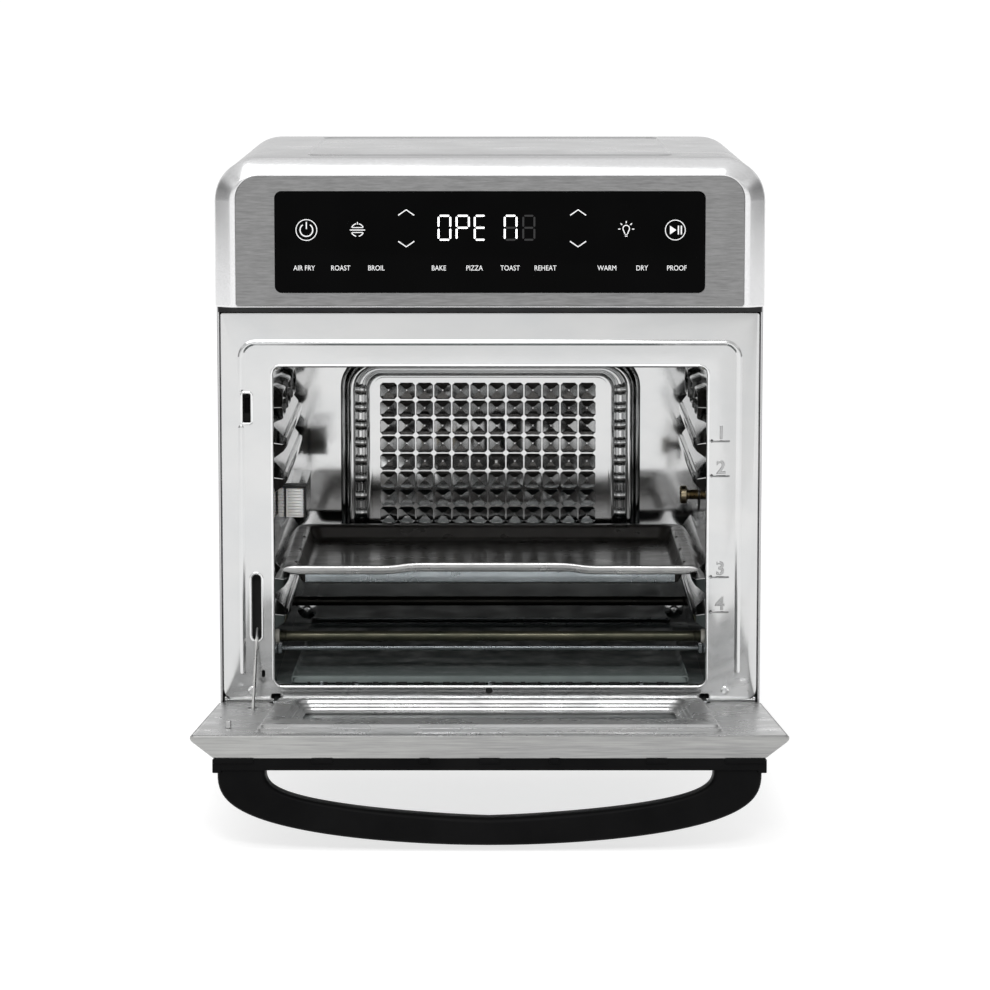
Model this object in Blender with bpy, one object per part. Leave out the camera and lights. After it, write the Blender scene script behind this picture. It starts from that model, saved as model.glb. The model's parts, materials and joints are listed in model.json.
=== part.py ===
"""A compact air-fryer toaster oven with its drop-down door open.

X is to the right as one faces the oven, +Y is to its back and +Z is up. The body's pieces are modelled from a
datum on its front plane at counter level, and the door's pieces from the door's hinge axis, door shut.
"""

import math

import bmesh
import bpy
from mathutils import Vector

# Casing
FRONT_Y = -0.0357
HALF_WIDTH = 0.170
HEIGHT = 0.3811
DEPTH = 0.2993
FOOT_HEIGHT = 0.020
SHEET = 0.001
CORNER_RADIUS = 0.0255
GAP = 0.0003

# Mouth of the cavity and the cavity behind it
MOUTH_HALF = 0.135
MOUTH_LOW = 0.0506
MOUTH_HIGH = 0.2514
FRAME_HIGH = 0.2856
CAVITY_HALF = 0.1365
CAVITY_FLOOR = 0.0456
CAVITY_ROOF = 0.2530
CAVITY_START = 0.0075
CAVITY_BACK = 0.2580
WALL = 0.0008
RACK_LEVELS = (0.0964, 0.1194, 0.1833, 0.2052)
TRAY_LEVEL = RACK_LEVELS[1]

# Control panel
PANEL_LOW = 0.2895
PANEL_FRONT = -0.0130

# Door, measured shut: u is outward from its inner face, v is up from its bottom edge
DOOR_LENGTH = 0.239
DOOR_HALF = 0.1704
DOOR_THICK = 0.013
PIVOT_DEPTH = -0.0042
PIVOT_HEIGHT = 0.0375
PIVOT_U = 0.003
PIVOT_V = 0.003
OPEN_ANGLE = math.radians(83.7)
HINGE_X = 0.1345
PIN_RADIUS = 0.0014
RUNNING = 0.00008

# Door counterbalance: rod from the door, through the front frame, to a spring in the left side chamber
ROD_X = -0.1463
ROD_U = 0.0035
ROD_V = 0.046
ROD_LENGTH = 0.100
ROD_ANGLE = math.radians(40.1)
POST_DEPTH = 0.110
EYE_PIN_RADIUS = 0.0012

# Convection fan and the middle of its cover
FAN_MIDDLE = 0.1585
FAN_HEIGHT = 0.1585
FAN_SHAFT_RADIUS = 0.003

# Heaters: depth and height
LOWER_HEATERS = ((0.058, 0.072), (0.196, 0.072))
UPPER_HEATERS = ((0.070, 0.2472), (0.185, 0.2472))

# Bulb of the lamp on the left wall
LAMP_DEPTH = 0.122
LAMP_HEIGHT = 0.158

# Rotisserie drive on the right wall
SPIT_DEPTH = 0.125
SPIT_HEIGHT = 0.1545

# Crumb tray slides out along the line from the cavity floor up over the mouth's lower edge
CRUMB_SLOPE = math.radians(1.2)

MATERIALS = {
    "polished_steel": ((0.78, 0.79, 0.80), 0.12, 1.0),
    "brushed_steel": ((0.52, 0.53, 0.54), 0.32, 1.0),
    "satin_silver": ((0.70, 0.71, 0.72), 0.30, 1.0),
    "zinc_sheet": ((0.55, 0.57, 0.58), 0.35, 1.0),
    "black_plastic": ((0.012, 0.012, 0.013), 0.42, 0.0),
    "black_glass": ((0.005, 0.005, 0.006), 0.06, 0.0),
    "clear_glass": ((0.75, 0.80, 0.80), 0.04, 0.0),
    "lamp_glass": ((0.78, 0.74, 0.62), 0.25, 0.0),
    "dark_enamel": ((0.045, 0.043, 0.040), 0.30, 0.0),
    "heater_steel": ((0.20, 0.19, 0.13), 0.35, 1.0),
    "dark_steel": ((0.05, 0.05, 0.05), 0.40, 1.0),
    "motor_steel": ((0.35, 0.35, 0.36), 0.45, 1.0),
    "brass": ((0.62, 0.50, 0.26), 0.28, 1.0),
    "circuit_board": ((0.03, 0.16, 0.07), 0.45, 0.0),
    "white_plastic": ((0.80, 0.79, 0.75), 0.40, 0.0),
}


# Scene and helpers


def clear_scene():
    for item in list(bpy.data.objects):
        bpy.data.objects.remove(item, do_unlink=True)


def paint(name):
    found = bpy.data.materials.get(name)
    if found:
        return found
    colour, roughness, metallic = MATERIALS[name]
    made = bpy.data.materials.new(name)
    made.use_nodes = True
    shader = made.node_tree.nodes["Principled BSDF"]
    shader.inputs["Base Color"].default_value = (*colour, 1.0)
    shader.inputs["Roughness"].default_value = roughness
    shader.inputs["Metallic"].default_value = metallic
    return made


def axis_empty(name, location, parent=None, tilt=0.0):
    """An empty on a joint's axis. tilt turns it about X."""
    made = bpy.data.objects.new(name, None)
    bpy.context.scene.collection.objects.link(made)
    made.location = location
    made.rotation_euler.x = tilt
    made.parent = parent
    return made


def finish_mesh(name, bm, colour, parent):
    bmesh.ops.recalc_face_normals(bm, faces=bm.faces)
    mesh = bpy.data.meshes.new(name)
    bm.to_mesh(mesh)
    bm.free()
    mesh.shade_smooth()
    mesh.set_sharp_from_angle(angle=math.radians(35))
    mesh.materials.append(paint(colour))
    made = bpy.data.objects.new(name, mesh)
    bpy.context.scene.collection.objects.link(made)
    made.parent = parent
    return made


def loft(name, rings, colour, parent, closed=False):
    """Skins rings of equal length. Closed joins the last ring to the first, otherwise both ends are capped."""
    bm = bmesh.new()
    layers = [[bm.verts.new(point) for point in ring] for ring in rings]
    following = layers[1:] + layers[:1] if closed else layers[1:]
    for near, far in zip(layers, following):
        for i in range(len(near)):
            k = (i + 1) % len(near)
            bm.faces.new((near[i], near[k], far[k], far[i]))
    if not closed:
        bm.faces.new(layers[0])
        bm.faces.new(layers[-1])
    return finish_mesh(name, bm, colour, parent)


def rectangle(x0, x1, z0, z1, low_radius=0.001, high_radius=None, steps=3):
    """Outline of a rounded rectangle, anticlockwise from its lower left corner."""
    high = low_radius if high_radius is None else high_radius
    corners = (
        (x0 + low_radius, z0 + low_radius, low_radius, 180),
        (x1 - low_radius, z0 + low_radius, low_radius, 270),
        (x1 - high, z1 - high, high, 0),
        (x0 + high, z1 - high, high, 90),
    )
    points = []
    for x, z, radius, start in corners:
        for i in range(steps + 1):
            angle = math.radians(start + 90 * i / steps)
            points.append((x + radius * math.cos(angle), z + radius * math.sin(angle)))
    return points


def centred(half, z0, z1, low_radius=0.001, high_radius=None, steps=3):
    return rectangle(-half, half, z0, z1, low_radius, high_radius, steps)


def at_depth(outline, depth):
    """An outline in X and Z, moved to a depth."""
    return [(x, depth, z) for x, z in outline]


def at_height(outline, height):
    """An outline in X and Y, moved to a height."""
    return [(x, y, height) for x, y in outline]


def prism(name, outline, start, end, axis, colour, parent):
    """An outline pushed along an axis. Its points hold the other two coordinates, in X, Y, Z order."""
    place = {
        "x": lambda a, b, s: (s, a, b),
        "y": lambda a, b, s: (a, s, b),
        "z": lambda a, b, s: (a, b, s),
    }[axis]
    rings = [[place(a, b, s) for a, b in outline] for s in (start, end)]
    return loft(name, rings, colour, parent)


def block(name, low, high, colour, parent):
    outline = ((low[0], low[1]), (high[0], low[1]), (high[0], high[1]), (low[0], high[1]))
    return prism(name, outline, low[2], high[2], "z", colour, parent)


def circle(radius, centre, along, axis, sides):
    """A ring of points about an axis through centre, at a distance along that axis."""
    points = []
    for i in range(sides):
        angle = 2 * math.pi * (i + 0.5) / sides
        a, b = radius * math.cos(angle), radius * math.sin(angle)
        offset = {"x": (along, a, b), "y": (a, along, b), "z": (a, b, along)}[axis]
        points.append(Vector(centre) + Vector(offset))
    return points


def turned(name, profile, centre, axis, colour, parent, sides=16, closed=False):
    """A turned piece. The profile's points are (radius, distance along the axis)."""
    rings = [circle(radius, centre, along, axis, sides) for radius, along in profile]
    return loft(name, rings, colour, parent, closed)


def pin(name, radius, start, end, centre, axis, colour, parent, sides=12):
    return turned(name, ((radius, start), (radius, end)), centre, axis, colour, parent, sides)


def boolean(target, tool, operation):
    tool.hide_render = True
    tool.display_type = "WIRE"
    step = target.modifiers.new(tool.name, "BOOLEAN")
    step.operation = operation
    step.solver = "EXACT"
    step.object = tool


def cut(target, tool):
    boolean(target, tool, "DIFFERENCE")


def join(target, tool):
    boolean(target, tool, "UNION")


def cut_blocks(target, boxes):
    """Cuts boxes out of a piece, each given as (low corner, high corner)."""
    for number, (low, high) in enumerate(boxes):
        cut(target, block(f"{target.name}_slot_{number}", low, high, "dark_steel", target.parent))


def join_blocks(target, boxes):
    for number, (low, high) in enumerate(boxes):
        join(target, block(f"{target.name}_boss_{number}", low, high, "dark_steel", target.parent))


def cut_bore(target, label, radius, start, end, centre, axis, sides=12):
    tool = pin(f"{target.name}_{label}", radius, start, end, centre, axis, "dark_steel", target.parent, sides)
    cut(target, tool)


# Casing


def wrap_section(half, low, high, radius, steps=5):
    """Open section of the wrap, from the lower right, over the top, to the lower left."""
    points = [(half, low)]
    for side, start in ((1, 0), (-1, 90)):
        for i in range(steps + 1):
            angle = math.radians(start + 90 * i / steps)
            x = side * (half - radius) + radius * math.cos(angle)
            points.append((x, high - radius + radius * math.sin(angle)))
    points.append((-half, low))
    return points


def outer_wrap(body):
    half = HALF_WIDTH - 0.0005
    high = HEIGHT - 0.0005
    outside = wrap_section(half, FOOT_HEIGHT, high, CORNER_RADIUS)
    inside = wrap_section(half - SHEET, FOOT_HEIGHT, high - SHEET, CORNER_RADIUS - SHEET)
    prism("outer_wrap", outside + inside[::-1], 0.0, DEPTH, "y", "satin_silver", body)


def rear_cover(body):
    half = HALF_WIDTH - 0.0018
    edge = centred(half, FOOT_HEIGHT + 0.0002, HEIGHT - 0.0018, 0.002, 0.0242, 4)
    foot = centred(0.092, 0.062, 0.232, 0.012, None, 4)
    crown = centred(0.082, 0.072, 0.222, 0.010, None, 4)
    inner_crown = centred(0.0812, 0.0728, 0.2212, 0.0092, None, 4)
    rings = [
        at_depth(inner_crown, DEPTH + 0.0133),
        at_depth(foot, DEPTH),
        at_depth(edge, DEPTH),
        at_depth(edge, DEPTH + SHEET),
        at_depth(foot, DEPTH + SHEET),
        at_depth(crown, DEPTH + 0.0143),
    ]
    # the wrap's own back edge stops at the cover
    cover = loft("rear_cover", [[(x, y + GAP, z) for x, y, z in ring] for ring in rings], "zinc_sheet", body)
    slots = []
    for row in range(5):
        z = 0.100 + 0.024 * row
        for side in (-1, 1):
            x = sorted((side * 0.012, side * 0.066))
            slots.append(((x[0], DEPTH + 0.010, z), (x[1], DEPTH + 0.020, z + 0.005)))
    for column in range(6):
        x = -0.105 + 0.042 * column - 0.0135
        slots.append(((x, DEPTH - 0.002, 0.300), (x + 0.027, DEPTH + 0.004, 0.305)))
    cut_blocks(cover, slots)


def base_plate(body):
    low = FOOT_HEIGHT + GAP
    outline = rectangle(-0.168, 0.168, 0.002, DEPTH - 0.001, 0.003)
    prism("base_plate", outline, low, low + SHEET, "z", "zinc_sheet", body)


def feet(body):
    for row, depth in (("front", 0.030), ("rear", 0.270)):
        for side, x in (("left", -0.140), ("right", 0.140)):
            profile = ((0.0100, 0.0), (0.0115, 0.002), (0.0130, FOOT_HEIGHT))
            turned(f"foot_{row}_{side}", profile, (x, depth, 0), "z", "black_plastic", body, 16)


def front_frame(body):
    outline = centred(0.167, 0.024, FRAME_HIGH, 0.004)
    face = prism("front_frame", outline, 0.0, 0.0012, "y", "polished_steel", body)
    lip = prism(
        "front_frame_lip",
        centred(MOUTH_HALF + 0.001, MOUTH_LOW - 0.001, MOUTH_HIGH + 0.001, 0.0055),
        0.0006,
        0.0070,
        "y",
        "polished_steel",
        body,
    )
    join(face, lip)
    mouth = prism(
        "front_frame_mouth",
        centred(MOUTH_HALF, MOUTH_LOW, MOUTH_HIGH, 0.0045),
        -0.002,
        0.010,
        "y",
        "polished_steel",
        body,
    )
    cut(face, mouth)
    tab = HINGE_X + 0.0022
    cut_blocks(
        face,
        (
            ((-0.1540, -0.002, 0.2168), (-0.1490, 0.004, 0.2349)),
            ((-0.1494, -0.002, 0.0789), (-0.1431, 0.004, 0.1212)),
            ((-tab, -0.002, 0.0318), (-tab + 0.0044, 0.004, 0.0438)),
            ((tab - 0.0044, -0.002, 0.0318), (tab, 0.004, 0.0438)),
        ),
    )


def hinge_brackets(body):
    """Steel tabs fixed in the body. Each reaches through the front frame to the door's pin."""
    for side, middle in (("left", -HINGE_X), ("right", HINGE_X)):
        eye = []
        for i in range(9):
            angle = math.radians(60 + 240 * i / 8)
            eye.append((PIVOT_DEPTH + 0.004 * math.cos(angle), PIVOT_HEIGHT + 0.004 * math.sin(angle)))
        outline = eye + [(0.0060, 0.0340), (0.0060, 0.0225), (0.0400, 0.0225), (0.0400, 0.0300), (0.0060, 0.0432)]
        tab = prism(
            f"hinge_bracket_{side}", outline, middle - 0.0015, middle + 0.0015, "x", "dark_steel", body
        )
        cut_bore(tab, "bore", PIN_RADIUS + RUNNING, -0.003, 0.003, (middle, PIVOT_DEPTH, PIVOT_HEIGHT), "x", 24)


# Cavity


def side_wall(name, inner, outer, body, holes):
    x = sorted((inner, outer))
    wall = block(
        name, (x[0], CAVITY_START, CAVITY_FLOOR), (x[1], CAVITY_BACK, CAVITY_ROOF), "polished_steel", body
    )
    for number, (radius, depth, height) in enumerate(holes):
        centre = ((inner + outer) / 2, depth, height)
        cut_bore(wall, f"hole_{number}", radius, -0.004, 0.004, centre, "x")


def cavity(body):
    heater_holes = [(0.0052, depth, height) for depth, height in LOWER_HEATERS + UPPER_HEATERS]
    outer = CAVITY_HALF + WALL
    side_wall("cavity_wall_left", -CAVITY_HALF, -outer, body, heater_holes + [(0.0105, LAMP_DEPTH, LAMP_HEIGHT)])
    spit_hole = (0.0040, SPIT_DEPTH, SPIT_HEIGHT)
    side_wall("cavity_wall_right", CAVITY_HALF, outer, body, heater_holes + [spit_hole])
    floor = CAVITY_FLOOR - GAP
    block(
        "cavity_floor",
        (-outer, CAVITY_START, floor - WALL),
        (outer, CAVITY_BACK, floor),
        "polished_steel",
        body,
    )
    roof = CAVITY_ROOF + GAP
    block("cavity_roof", (-outer, CAVITY_START, roof), (outer, CAVITY_BACK, roof + WALL), "polished_steel", body)
    back = CAVITY_BACK + GAP
    wall = block(
        "cavity_back", (-outer, back, floor - WALL), (outer, back + WALL, roof + WALL), "polished_steel", body
    )
    cut_bore(wall, "shaft_hole", 0.006, -0.004, 0.004, (0, back, FAN_HEIGHT), "y")


def rack_guides(body):
    """One upright sheet on each side wall, with a ledge bent inward at each of four levels."""
    face = CAVITY_HALF - 0.0003
    ledge = 0.0012
    for side, sign in (("left", -1), ("right", 1)):
        outline = [(face, 0.0845), (face, 0.2165), (face - 0.001, 0.2165)]
        for level in RACK_LEVELS[::-1]:
            outline += [(face - 0.001, level), (0.1275, level)]
            outline += [(0.1275, level - ledge), (face - 0.001, level - ledge)]
        outline.append((face - 0.001, 0.0845))
        section = [(sign * x, z) for x, z in outline]
        guide = prism(f"rack_guide_{side}", section, 0.012, 0.226, "y", "polished_steel", body)
        if side == "left":
            cut_blocks(guide, [((-0.138, 0.0565, 0.1445), (-0.125, 0.1385, 0.1720))])
        else:
            cut_blocks(guide, [((0.125, SPIT_DEPTH - 0.010, 0.1430), (0.138, SPIT_DEPTH + 0.010, 0.1660))])


def fan_cover(body):
    """Pressed cover with a base flange, a raised rim, a groove and a flat plate in the middle."""
    stations = (
        (0.1030, 0.0, 0.012, 0.0),
        (0.0985, 0.0, 0.012, 0.0008),
        (0.0965, 0.0205, 0.011, 0.0008),
        (0.0885, 0.0205, 0.006, -0.0004),
        (0.0865, 0.0175, 0.005, -0.0004),
        (0.0815, 0.0175, 0.004, 0.0004),
        (0.0800, 0.0195, 0.004, 0.0004),
    )
    base = CAVITY_BACK - GAP

    def station(half, inset, radius, depth):
        tall = 0.0745 - 0.6 * (0.1030 - half) - inset
        return at_depth(centred(half - inset, FAN_MIDDLE - tall, FAN_MIDDLE + tall, radius), depth)

    front = [station(half, 0.0, radius, base - WALL - rise) for half, rise, radius, inset in stations]
    back = [station(half, inset, radius, base - rise) for half, rise, radius, inset in stations]
    loft("fan_cover", back[::-1] + front, "polished_steel", body)


def star(blades, tip, root, half_thickness):
    """Outline of a paddle wheel: thin blades with the hub's points between them."""
    points = []
    for i in range(blades):
        middle = 2 * math.pi * i / blades
        for radius, width in ((root, -2.2), (tip, -1), (tip, 1), (root, 2.2)):
            angle = middle + math.atan2(width * half_thickness, radius)
            points.append((radius * math.cos(angle), radius * math.sin(angle)))
    return points


def fans(body):
    """Both fans and their shaft turn together about the fan's axis."""
    axis = axis_empty("fan_axis", (0, CAVITY_BACK, FAN_HEIGHT), body)
    shaft = FAN_SHAFT_RADIUS
    fan = prism("convection_fan", star(10, 0.060, 0.012, 0.0012), -0.0160, -0.0040, "y", "motor_steel", axis)
    cut_bore(fan, "bore", shaft + GAP, -0.020, 0.0, (0, 0, 0), "y")
    profile = ((0.0052, -0.0178), (0.0052, -0.0163), (shaft, -0.0163), (shaft, 0.0480))
    turned("motor_shaft", profile, (0, 0, 0), "y", "motor_steel", axis, 12)
    cooler = prism("cooling_fan", star(8, 0.034, 0.010, 0.0010), 0.0365, 0.0455, "y", "motor_steel", axis)
    cut_bore(cooler, "bore", shaft + GAP, 0.030, 0.050, (0, 0, 0), "y")


def fan_motor(body):
    start = CAVITY_BACK + 0.0015
    bracket = block(
        "motor_bracket", (-0.062, start, FAN_HEIGHT - 0.012), (0.062, start + 0.002, FAN_HEIGHT + 0.012),
        "zinc_sheet", body,
    )
    cut_bore(bracket, "bore", 0.008, -0.003, 0.006, (0, start, FAN_HEIGHT), "y")
    face = start + 0.0023
    motor = block(
        "fan_motor", (-0.032, face, FAN_HEIGHT - 0.026), (0.032, face + 0.020, FAN_HEIGHT + 0.036),
        "motor_steel", body,
    )
    coil = block(
        "fan_motor_coil", (-0.020, face + 0.0005, FAN_HEIGHT + 0.030), (0.020, face + 0.027, FAN_HEIGHT + 0.052),
        "brass", body,
    )
    join(motor, coil)
    for label, rise, length in (("front", 0.0, 0.004), ("rear", 0.016, 0.010)):
        boss = pin(
            f"fan_motor_{label}", 0.010, rise, rise + length, (0, face, FAN_HEIGHT), "y", "motor_steel", body
        )
        join(motor, boss)
    cut_bore(motor, "bore", FAN_SHAFT_RADIUS + RUNNING, -0.003, 0.030, (0, face, FAN_HEIGHT), "y", 24)


def heaters(body):
    """Sheathed tubes from wall to wall, each with a ceramic end and a terminal in the side chambers."""
    rows = (("lower", LOWER_HEATERS), ("upper", UPPER_HEATERS))
    for row, places in rows:
        for place, (depth, height) in zip(("front", "rear"), places):
            end = ((0.0014, 0.1540), (0.0014, 0.1450), (0.0046, 0.1450), (0.0046, 0.1315), (0.00325, 0.1315))
            profile = [(r, -x) for r, x in end] + [(r, x) for r, x in end[::-1]]
            turned(f"heater_{row}_{place}", profile, (0, depth, height), "x", "heater_steel", body, 12)


def lamp(body):
    """Oven lamp on the left wall: a ribbed glass cover under a metal cap, and the bulb in its holder."""
    rings = []
    for half_d, half_z, x in (
        (0.0375, 0.0095, -0.1190),
        (0.0375, 0.0095, -0.1361),
        (0.0360, 0.0080, -0.1361),
        (0.0360, 0.0080, -0.1205),
    ):
        outline = rectangle(-half_d, half_d, -half_z, half_z, 0.001, None, 2)
        rings.append([(x, 0.0975 + a, 0.158 + b) for a, b in outline])
    loft("lamp_cover", rings, "lamp_glass", body)
    block("lamp_cap", (-0.1361, 0.0590, 0.1679), (-0.1180, 0.1360, 0.1689), "dark_steel", body)
    profile = ((0.0040, -0.0130), (0.0070, -0.0100), (0.0070, 0.0), (0.0035, 0.0040))
    turned("lamp_bulb", profile, (-0.1260, LAMP_DEPTH, LAMP_HEIGHT), "x", "clear_glass", body, 10)
    holder = ((0.0090, -0.0155), (0.0090, -0.0005), (0.0075, -0.0005), (0.0075, -0.0120))
    turned("lamp_holder", holder, (-0.1385, LAMP_DEPTH, LAMP_HEIGHT), "x", "white_plastic", body, 12)


def rotisserie(body):
    """Drive hub inside the right wall, turned by a gear motor in the side chamber."""
    axis = axis_empty("spit_axis", (CAVITY_HALF, SPIT_DEPTH, SPIT_HEIGHT), body)
    profile = (
        (0.0030, 0.0085), (0.0030, -0.0075), (0.0060, -0.0075),
        (0.0060, -0.0120), (0.0036, -0.0120), (0.0036, -0.0090),
    )
    turned("rotisserie_hub", profile, (0, 0, 0), "x", "brass", axis, 12)
    start = CAVITY_HALF + 0.0035
    motor = block(
        "rotisserie_motor", (start, SPIT_DEPTH - 0.024, SPIT_HEIGHT - 0.022),
        (start + 0.023, SPIT_DEPTH + 0.024, SPIT_HEIGHT + 0.022), "motor_steel", body,
    )
    cut_bore(motor, "bore", 0.0030 + RUNNING, -0.002, 0.0080, (start, SPIT_DEPTH, SPIT_HEIGHT), "x", 24)


# Control panel


def panel_ring(half, high, radius, depth, low=PANEL_LOW):
    return at_depth(centred(half, low, high, 0.001, radius, 4), depth)


def control_panel(body):
    plate_top = 0.3710
    rings = [
        panel_ring(HALF_WIDTH, HEIGHT, 0.026, -0.0003),
        panel_ring(HALF_WIDTH, HEIGHT, 0.026, -0.0035),
        panel_ring(0.1571, plate_top + 0.0003, 0.0163, PANEL_FRONT + 0.0005, PANEL_LOW + 0.0008),
        panel_ring(0.1571, plate_top + 0.0003, 0.0163, -0.0100, PANEL_LOW + 0.0008),
        panel_ring(0.1600, plate_top + 0.0030, 0.0180, -0.0080, PANEL_LOW + 0.0011),
        panel_ring(0.1680, HEIGHT - 0.0020, 0.0240, -0.0020, PANEL_LOW + 0.0015),
        panel_ring(0.1680, HEIGHT - 0.0020, 0.0240, -0.0003, PANEL_LOW + 0.0015),
    ]
    loft("control_bezel", rings, "satin_silver", body, closed=True)
    outer = panel_ring(0.1568, plate_top, 0.016, PANEL_FRONT, PANEL_LOW + 0.0011)
    window = at_depth(centred(0.1325, 0.2989, 0.3614, 0.0033, None, 4), PANEL_FRONT)
    deeper = [[(x, PANEL_FRONT + 0.0015, z) for x, y, z in ring] for ring in (window, outer)]
    loft("control_plate", [outer, window, *deeper], "brushed_steel", body, closed=True)
    glass = centred(0.1322, 0.2992, 0.3611, 0.0030)
    prism("control_glass", glass, PANEL_FRONT - 0.0004, PANEL_FRONT + 0.0020, "y", "black_glass", body)
    block("display_module", (-0.036, -0.0107, 0.3265), (0.038, -0.0062, 0.3515), "black_plastic", body)
    block("control_board", (-0.128, -0.0059, 0.3000), (0.128, -0.0043, 0.3600), "circuit_board", body)
    bracket = centred(0.1665, FRAME_HIGH + 0.0006, HEIGHT - 0.0025, 0.003, 0.0225)
    prism("panel_bracket", bracket, 0.0006, 0.0016, "y", "black_plastic", body)


def electronics(body):
    block("heat_shield", (-0.158, 0.012, 0.2640), (0.158, 0.288, 0.2648), "zinc_sheet", body)
    board = block("power_board", (-0.060, 0.130, 0.2740), (0.070, 0.230, 0.2756), "circuit_board", body)
    join_blocks(
        board,
        (
            ((-0.050, 0.140, 0.2752), (-0.028, 0.168, 0.2930)),
            ((-0.020, 0.140, 0.2752), (0.002, 0.168, 0.2930)),
            ((0.016, 0.145, 0.2752), (0.056, 0.180, 0.3050)),
            ((-0.045, 0.188, 0.2752), (-0.020, 0.215, 0.2960)),
            ((-0.055, 0.220, 0.2652), (-0.049, 0.226, 0.2742)),
            ((0.058, 0.220, 0.2652), (0.064, 0.226, 0.2742)),
        ),
    )
    gland = ((0.0090, 0.0), (0.0090, 0.0020), (0.0070, 0.0080), (0.0036, 0.0080), (0.0036, 0.0030))
    turned("cord_gland", gland, (0.130, DEPTH + SHEET + 2 * GAP, 0.050), "y", "black_plastic", body, 16)


def door_switch(body):
    """Micro switch behind the slot on the left, with its sprung plunger."""
    switch = block("door_switch", (-0.1600, 0.0120, 0.2150), (-0.1460, 0.0290, 0.2370), "black_plastic", body)
    cut_blocks(switch, [((-0.1535, 0.010, 0.2215), (-0.1495, 0.0165, 0.2305))])
    axis = axis_empty("plunger_axis", (-0.1515, 0.0030, 0.2260), body)
    block("switch_plunger", (-0.0016, 0.0, -0.0040), (0.0016, 0.0110, 0.0040), "black_plastic", axis)


# Trays


def baking_tray(body):
    """Pressed tray with a wide flange. The middle of its front edge is raised as a grip."""
    slide = axis_empty("tray_slide", (0, 0.020, TRAY_LEVEL), body)
    level = 0.0004
    sheet = 0.0009

    def ring(half, near, far, height, radius):
        return at_height(rectangle(-half, half, near, far, radius, None, 3), height)

    rings = [
        ring(0.1150, 0.0160, 0.1970, level - 0.0090, 0.012),
        ring(0.1210, 0.0090, 0.2020, level + 0.0002, 0.014),
        ring(0.1310, 0.0004, 0.2060, level + 0.0012, 0.010),
        ring(0.1310, 0.0004, 0.2060, level + 0.0002, 0.010),
        ring(0.1212, 0.0085, 0.2024, level - 0.0008, 0.014),
        ring(0.1153, 0.0155, 0.1974, level - 0.0090 - sheet, 0.012),
    ]
    tray = loft("baking_tray", rings, "dark_enamel", slide)
    lip = block(
        "baking_tray_lip",
        (-0.1270, 0.0001, level - 0.0020),
        (0.1270, 0.0012, level + 0.0045),
        "dark_enamel",
        slide,
    )
    join(tray, lip)


def crumb_tray(body):
    """Shallow tray that rests on the mouth's lower edge and slopes down to the cavity floor behind."""
    front = MOUTH_LOW + 0.0003
    slide = axis_empty("crumb_slide", (0, 0.0035, front), body, -CRUMB_SLOPE)
    rings = [
        at_height(rectangle(-0.1215, 0.1215, 0.0020, 0.2400, 0.004, None, 2), 0.0008),
        at_height(rectangle(-0.1240, 0.1240, 0.0005, 0.2440, 0.005, None, 2), 0.0048),
        at_height(rectangle(-0.1250, 0.1250, 0.0, 0.2450, 0.005, None, 2), 0.0048),
        at_height(rectangle(-0.1225, 0.1225, 0.0012, 0.2410, 0.004, None, 2), 0.0),
    ]
    loft("crumb_tray", rings, "dark_steel", slide)


# Door


def door_ring(half, low, high, u, radius=0.002):
    """A rounded rectangle on the door, half wide, from low to high up the door, u out from its inner face."""
    outline = centred(half, low - PIVOT_V, high - PIVOT_V, radius)
    return at_depth(outline, PIVOT_U - u)


def door_block(name, x, u, v, colour, door):
    low = (x[0], PIVOT_U - u[1], v[0] - PIVOT_V)
    high = (x[1], PIVOT_U - u[0], v[1] - PIVOT_V)
    return block(name, low, high, colour, door)


def door_shells(door):
    top = DOOR_LENGTH
    skin_rings = [
        door_ring(0.1240, 0.036, 0.184, 0.0130, 0.006),
        door_ring(0.1578, 0.006, top, 0.0130),
        door_ring(DOOR_HALF, 0.0, top, 0.0028, 0.0024),
        door_ring(DOOR_HALF, 0.0, top, 0.0009, 0.0024),
        door_ring(DOOR_HALF - 0.0010, 0.0010, top - 0.0010, 0.0009, 0.0014),
        door_ring(DOOR_HALF - 0.0010, 0.0010, top - 0.0010, 0.0030, 0.0014),
        door_ring(0.1573, 0.0068, top - 0.0010, 0.0120),
        door_ring(0.1240, 0.036, 0.184, 0.0120, 0.006),
    ]
    skin = loft("door_skin", skin_rings, "brushed_steel", door, closed=True)
    liner_rings = [
        door_ring(DOOR_HALF - 0.0014, 0.0014, top - 0.0014, 0.0),
        door_ring(0.1335, 0.0165, 0.2155, 0.0, 0.004),
        door_ring(0.1325, 0.0175, 0.2145, -0.0040, 0.004),
        door_ring(0.1205, 0.0450, 0.1720, -0.0040, 0.008),
        door_ring(0.1165, 0.0515, 0.1660, 0.0020, 0.006),
        door_ring(0.1130, 0.0550, 0.1625, 0.0020, 0.005),
        door_ring(0.1130, 0.0550, 0.1625, 0.0028, 0.005),
        door_ring(0.1172, 0.0508, 0.1667, 0.0028, 0.006),
        door_ring(0.1212, 0.0443, 0.1727, -0.0032, 0.008),
        door_ring(0.1318, 0.0182, 0.2138, -0.0032, 0.004),
        door_ring(0.1328, 0.0172, 0.2148, 0.0008, 0.004),
        door_ring(DOOR_HALF - 0.0014, 0.0014, top - 0.0014, 0.0008),
    ]
    liner = loft("door_liner", liner_rings, "polished_steel", door, closed=True)
    for shell in (skin, liner):
        for side, middle in (("left", -HINGE_X), ("right", HINGE_X)):
            notch = door_block(
                f"{shell.name}_notch_{side}",
                (middle - 0.0040, middle + 0.0040),
                (-0.002, 0.0095),
                (-0.002, 0.0105),
                "dark_steel",
                door,
            )
            cut(shell, notch)
    rod_slot = door_block(
        "door_liner_rod_slot",
        (ROD_X - 0.0030, ROD_X + 0.0030),
        (-0.002, 0.002),
        (0.0405, 0.0515),
        "dark_steel",
        door,
    )
    cut(liner, rod_slot)


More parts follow.
